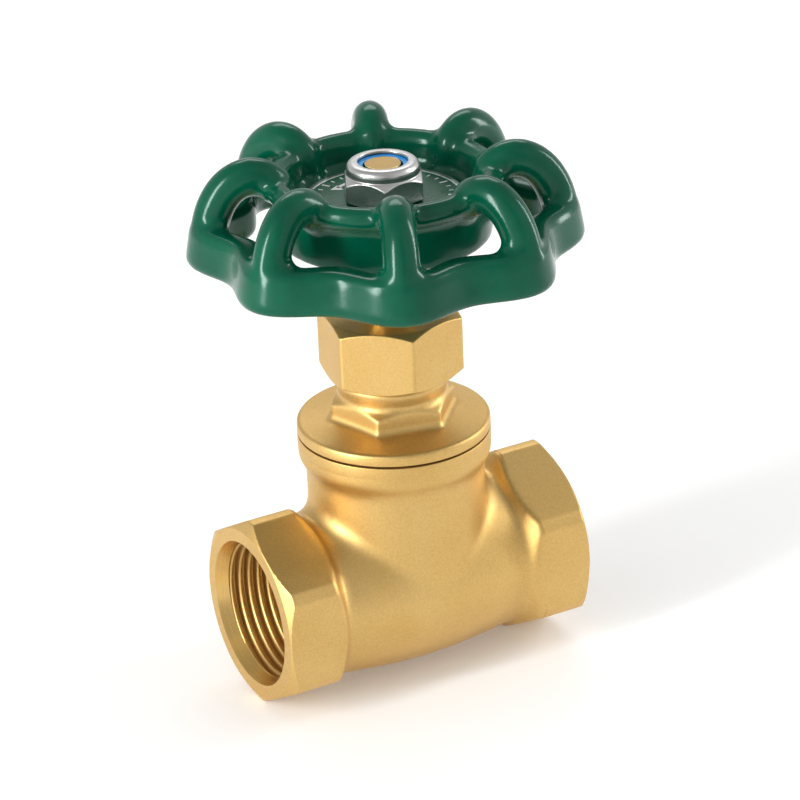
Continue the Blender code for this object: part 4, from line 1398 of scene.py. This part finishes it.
@dataclass
class Nameplate(Assembly):
    """The printed disc in the cup: a bare metal edge, a green face, and plain marks."""

    hole: float = 4.3 * MM
    edge: float = 1.0 * MM
    mark_height: float = 0.03 * MM
    mark_ring: float = 11.6 * MM
    mark_count: int = 36
    arrow_ring: float = 9.2 * MM
    arrow_steps: int = 12
    arrow_start: float = math.radians(25)
    arrow_sweep: float = math.radians(95)

    body = "stem_assembly"

    def __post_init__(self) -> None:
        """Reads the disc's place from the frame."""
        low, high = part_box("nameplate")
        self.bottom, self.top, self.radius = low.z, high.z, high.x

    def tick(self, turn: float, length: float, width: float, ring: float) -> Form:
        """One raised mark that points at the stem.

        Args:
            turn: its direction round the stem.
            length: how long it is, towards the stem.
            width: how wide it is.
            ring: radius of the circle that it lies on.

        Returns:
            The closed solid.
        """
        form = Form.block((ring - length / 2, -width / 2, self.top - self.mark_height),
                          (ring + length / 2, width / 2, self.top + self.mark_height))
        return form.placed(Matrix.Rotation(turn, 4, "Z"))

    def arrow(self, start: float, sweep: float) -> list[Form]:
        """A curved arrow round the stem.

        Args:
            start: where its tail is.
            sweep: how far round it reaches.

        Returns:
            The shells of its shaft and its head.
        """
        chord = self.arrow_ring * sweep / self.arrow_steps * 1.08
        shells = [self.tick(start + sweep * (i + 0.5) / self.arrow_steps, 0.7 * MM, chord,
                            self.arrow_ring) for i in range(self.arrow_steps)]
        head = Form()
        bmesh.ops.create_cone(head.bm, cap_ends=True, segments=3, radius1=1.3 * MM,
                              radius2=1.3 * MM, depth=2 * self.mark_height)
        head.placed(Matrix.Translation((self.arrow_ring, 0.3 * MM, self.top))
                    @ Matrix.Rotation(math.pi / 2, 4, "Z"))
        shells.append(head.placed(Matrix.Rotation(start + sweep, 4, "Z")))
        return shells

    def build(self, finishes: Finishes) -> None:
        """Makes the disc, its printed face and its marks.

        Args:
            finishes: the valve's finishes.
        """
        face = self.radius - self.edge
        disc = Form.turned([
            Corner(self.hole, self.top - 0.04 * MM), Corner(face, self.top - 0.04 * MM),
            Corner(face + 0.05 * MM, self.top, 0.02 * MM),
            Corner(self.radius, self.top, 0.1 * MM),
            Corner(self.radius, self.bottom, 0.1 * MM), Corner(self.hole, self.bottom)])
        plate = with_finish(disc.piece("printed_disc"), finishes.aluminium)
        plate.data.materials.append(finishes.print_green)
        for polygon in plate.data.polygons:
            spot = polygon.center
            if polygon.normal.z > 0.9 and math.hypot(spot.x, spot.y) < face:
                polygon.material_index = 1
        self.settle(shaded(plate), "printed_aluminium", ["nameplate"])
        marks = Form()
        shells = []
        for i in range(self.mark_count):
            long = i % 3 == 0
            shells.append(self.tick(FULL_TURN * i / self.mark_count, (1.5 if long else 0.8) * MM,
                                    (0.35 if long else 0.25) * MM, self.mark_ring))
        for start in (0.0, math.pi):
            shells += self.arrow(start + self.arrow_start, self.arrow_sweep)
        printed = marks.joined(shells).piece("printed_marks")
        self.settle(printed, "printed_aluminium", materials=[finishes.print_white])


@dataclass
class LockNut(Assembly):
    """The self-locking nut with its rolled collar, and the nylon ring held under the lip."""

    flats: float = 13.0 * MM
    turn: float = math.radians(3.5)
    hexagon_height: float = 4.1 * MM
    collar_radius: float = 6.25 * MM
    collar_round: float = 1.25 * MM
    lip_radius: float = 4.3 * MM
    lip: float = 0.5 * MM
    bore: float = 4.15 * MM
    pocket: float = 5.5 * MM
    insert_bore: float = 3.3 * MM
    insert_stand: float = 0.25 * MM

    body = "stem_assembly"

    def __post_init__(self) -> None:
        """Reads the nut's place from the frame."""
        low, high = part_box("wheel_lock_nut")
        self.bottom, self.top = low.z, high.z
        self.insert_low, self.insert_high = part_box("nylon_insert")
        self.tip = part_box("stem")[1].z

    def build(self, finishes: Finishes) -> None:
        """Makes the nut and its insert.

        Args:
            finishes: the valve's finishes.
        """
        corner = self.flats / math.sqrt(3)
        shoulder = self.bottom + self.hexagon_height
        pocket_floor = self.insert_low.z - PLAY
        corners = [
            Corner(self.lip_radius, self.top - 0.05 * MM, 0.15 * MM),
            Corner(self.collar_radius, self.top, self.collar_round),
            Corner(self.collar_radius, shoulder + 0.25 * MM, 0.3 * MM),
            Corner(self.collar_radius + 0.35 * MM, shoulder, 0.15 * MM),
            Corner(corner + 0.05 * MM, shoulder - 0.9 * MM),
            Corner(corner + 0.05 * MM, self.bottom + 0.45 * MM),
            Corner(self.flats / 2, self.bottom, 0.1 * MM),
            Corner(self.bore, self.bottom), Corner(self.bore, pocket_floor),
            Corner(self.pocket, pocket_floor), Corner(self.pocket, self.top - self.lip),
            Corner(self.lip_radius, self.top - self.lip)]
        form = Form.turned(corners, 2 * FINE_STEPS, spacing=0.18 * MM)
        form.faceted(Prism(6, self.flats, self.turn, self.bottom, shoulder + 0.1 * MM,
                           edge_round=0.2 * MM))
        nut = form.piece("self_locking_nut")
        self.settle(shaded(nut, math.radians(50)), "stainless", ["wheel_lock_nut"],
                    [finishes.steel])
        insert_top = self.tip + self.insert_stand
        under_lip = self.lip_radius - PLAY / 3
        insert = Form.turned([
            Corner(self.insert_bore, insert_top, 0.1 * MM),
            Corner(under_lip, insert_top, 0.1 * MM), Corner(under_lip, self.insert_high.z),
            Corner(self.insert_high.x, self.insert_high.z, 0.2 * MM),
            Corner(self.insert_high.x, self.insert_low.z),
            Corner(self.bore, self.insert_low.z), Corner(self.bore, self.tip - 0.8 * MM)],
            FINE_STEPS)
        self.settle(shaded(insert.piece("locking_ring")), "nylon", ["nylon_insert"],
                    [finishes.nylon])


@dataclass(frozen=True)
class KeptNodes:
    """The frame's own pieces that stay as they are, inside the valve, and get a real finish."""

    def dress(self, finishes: Finishes) -> None:
        """Puts a finish on each kept piece.

        Args:
            finishes: the valve's finishes.
        """
        finish_of = {
            "bonnet_gasket": finishes.rubber,
            "packing_support_washer": finishes.polished_brass,
            "packing_ring_lower": finishes.packing,
            "packing_ring_middle": finishes.packing,
            "packing_ring_upper": finishes.packing,
            "gland_follower": finishes.polished_brass,
            "disc_holder": finishes.polished_brass,
            "disc_seal": finishes.rubber,
            "disc_seal_washer": finishes.polished_brass,
            "disc_seal_nut": finishes.polished_brass,
            "disc_retaining_ring": finishes.steel,
        }
        for name, material in finish_of.items():
            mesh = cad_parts[name].data
            mesh.materials.clear()
            mesh.materials.append(material)
            LOG.info("%s: kept, finished in %s", name, material.name)


# --- studio --------------------------------------------------------------------------------------
@dataclass(frozen=True)
class SoftBox:
    """A square studio light: where it hangs, how wide it is and how strong."""

    name: str
    place: tuple[float, float, float]
    width: float
    height: float
    power: float


@dataclass(frozen=True)
class Glow:
    """A bright or dark patch of the tent round the valve, as seen in its reflections."""

    towards: tuple[float, float, float]
    near: float
    far: float
    strength: float


@dataclass
class Studio:
    """The pale floor, the soft lights, the white tent and the camera."""

    azimuth: float = math.radians(-28.485)
    elevation: float = math.radians(25.113)
    roll: float = math.radians(-2.368)
    distance: float = 657.792 * MM
    lens: float = 166.77
    sensor: float = 36.0
    across: float = 1.256 * MM
    lift: float = 29.931 * MM
    floor_size: float = 8.0
    tent: float = 0.73
    boxes: tuple[SoftBox, ...] = (
        SoftBox("key_left", (-0.96, -0.14, 0.28), 0.2, 0.85, 10.5),
        SoftBox("fill_right", (0.88, -0.2, 0.3), 0.12, 0.9, 4.0),
        SoftBox("back_top", (0.35, 0.75, 0.8), 0.9, 0.3, 2.5),
    )
    glows: tuple[Glow, ...] = (
        Glow((0.0, 0.3, 1.0), 0.5, 0.98, -0.3),
        Glow((-0.9, -0.4, 0.1), 0.5, 0.95, 0.45),
        Glow((0.95, -0.35, 0.1), 0.5, 0.95, 0.15),
        Glow((-0.45, -0.8, 0.5), 0.8, 0.97, -0.4),
    )

    def stand(self) -> None:
        """Lays the floor under the valve."""
        form = Form()
        bmesh.ops.create_grid(form.bm, x_segments=2, y_segments=2, size=self.floor_size / 2)
        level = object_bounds()[0].z - 0.05 * MM
        bmesh.ops.translate(form.bm, verts=form.bm.verts, vec=(0.0, 0.0, level))
        floor = form.piece("floor")
        bench = Bench("floor_paper")
        tint = bench.blend(bench.spread(bench.noise(60 * MM, 3.0), "Fac", 0.0, 1.0), "Result",
                           (0.93, 0.93, 0.93, 1.0), (0.9, 0.9, 0.9, 1.0))
        bench.link(tint, 2, bench.shader, "Base Color")
        bench.set(Roughness=0.9, Specular_IOR_Level=0.1, Emission_Strength=0.12,
                  Emission_Color=(1.0, 1.0, 1.0, 1.0))
        floor.data.materials.append(bench.material)
        floor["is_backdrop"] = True

    def light(self) -> None:
        """Hangs the lights and the tent."""
        centre = Vector((0.0, 0.0, self.lift))
        for box in self.boxes:
            lamp = bpy.data.lights.new(box.name, "AREA")
            lamp.shape = "ELLIPSE"
            lamp.size, lamp.size_y, lamp.energy = box.width, box.height, box.power
            obj = bpy.data.objects.new(box.name, lamp)
            obj.location = box.place
            obj.rotation_euler = (obj.location - centre).to_track_quat("Z", "Y").to_euler()
            bpy.context.scene.collection.objects.link(obj)
        world = bpy.data.worlds.new("tent")
        world.use_nodes = True
        tree = world.node_tree
        background = tree.nodes["Background"]
        direction = tree.nodes.new("ShaderNodeTexCoord")
        total = None
        for glow in self.glows:
            dot = tree.nodes.new("ShaderNodeVectorMath")
            dot.operation = "DOT_PRODUCT"
            dot.inputs[1].default_value = Vector(glow.towards).normalized()
            tree.links.new(direction.outputs["Generated"], dot.inputs[0])
            patch = tree.nodes.new("ShaderNodeMapRange")
            patch.interpolation_type = "SMOOTHSTEP"
            for name, value in (("From Min", glow.near), ("From Max", glow.far),
                                ("To Min", 0.0), ("To Max", glow.strength)):
                patch.inputs[name].default_value = value
            tree.links.new(dot.outputs["Value"], patch.inputs["Value"])
            add = tree.nodes.new("ShaderNodeMath")
            add.operation = "ADD"
            tree.links.new(patch.outputs["Result"], add.inputs[0])
            if total is None:
                add.inputs[1].default_value = self.tent
            else:
                tree.links.new(total.outputs[0], add.inputs[1])
            total = add
        tree.links.new(total.outputs[0], background.inputs["Strength"])
        background.inputs["Color"].default_value = (1.0, 1.0, 1.0, 1.0)
        bpy.context.scene.world = world

    def aim(self) -> None:
        """Sets the camera up."""
        azimuth, elevation, roll = self.azimuth, self.elevation, self.roll
        back = Vector((math.sin(azimuth) * math.cos(elevation),
                       -math.cos(azimuth) * math.cos(elevation), math.sin(elevation)))
        level = Vector((math.cos(azimuth), math.sin(azimuth), 0.0))
        upright = back.cross(level)
        right = level * math.cos(roll) + upright * math.sin(roll)
        up = upright * math.cos(roll) - level * math.sin(roll)
        place = back * self.distance + level * self.across + upright * self.lift
        camera = bpy.data.cameras.new("camera")
        camera.sensor_width = self.sensor
        camera.lens = self.lens
        camera.clip_start = 0.01
        obj = bpy.data.objects.new("camera", camera)
        turn = Matrix((right, up, back)).transposed().to_4x4()
        obj.matrix_world = Matrix.Translation(place) @ turn
        bpy.context.scene.collection.objects.link(obj)
        bpy.context.scene.camera = obj
        bpy.context.scene.view_settings.view_transform = "Standard"


def main() -> None:
    """Builds the valve's looks round its frame, and the studio that it stands in."""
    logging.basicConfig(level=logging.INFO, format="%(relativeCreated)6.0f ms %(message)s")
    finishes = Finishes()
    for assembly in (ValveBody(), Bonnet(), PackingNut(), Spindle(), Handwheel(), Nameplate(),
                     LockNut()):
        assembly.build(finishes)
    KeptNodes().dress(finishes)
    studio = Studio()
    studio.stand()
    studio.light()
    studio.aim()


if __name__ == "__main__":
    main()
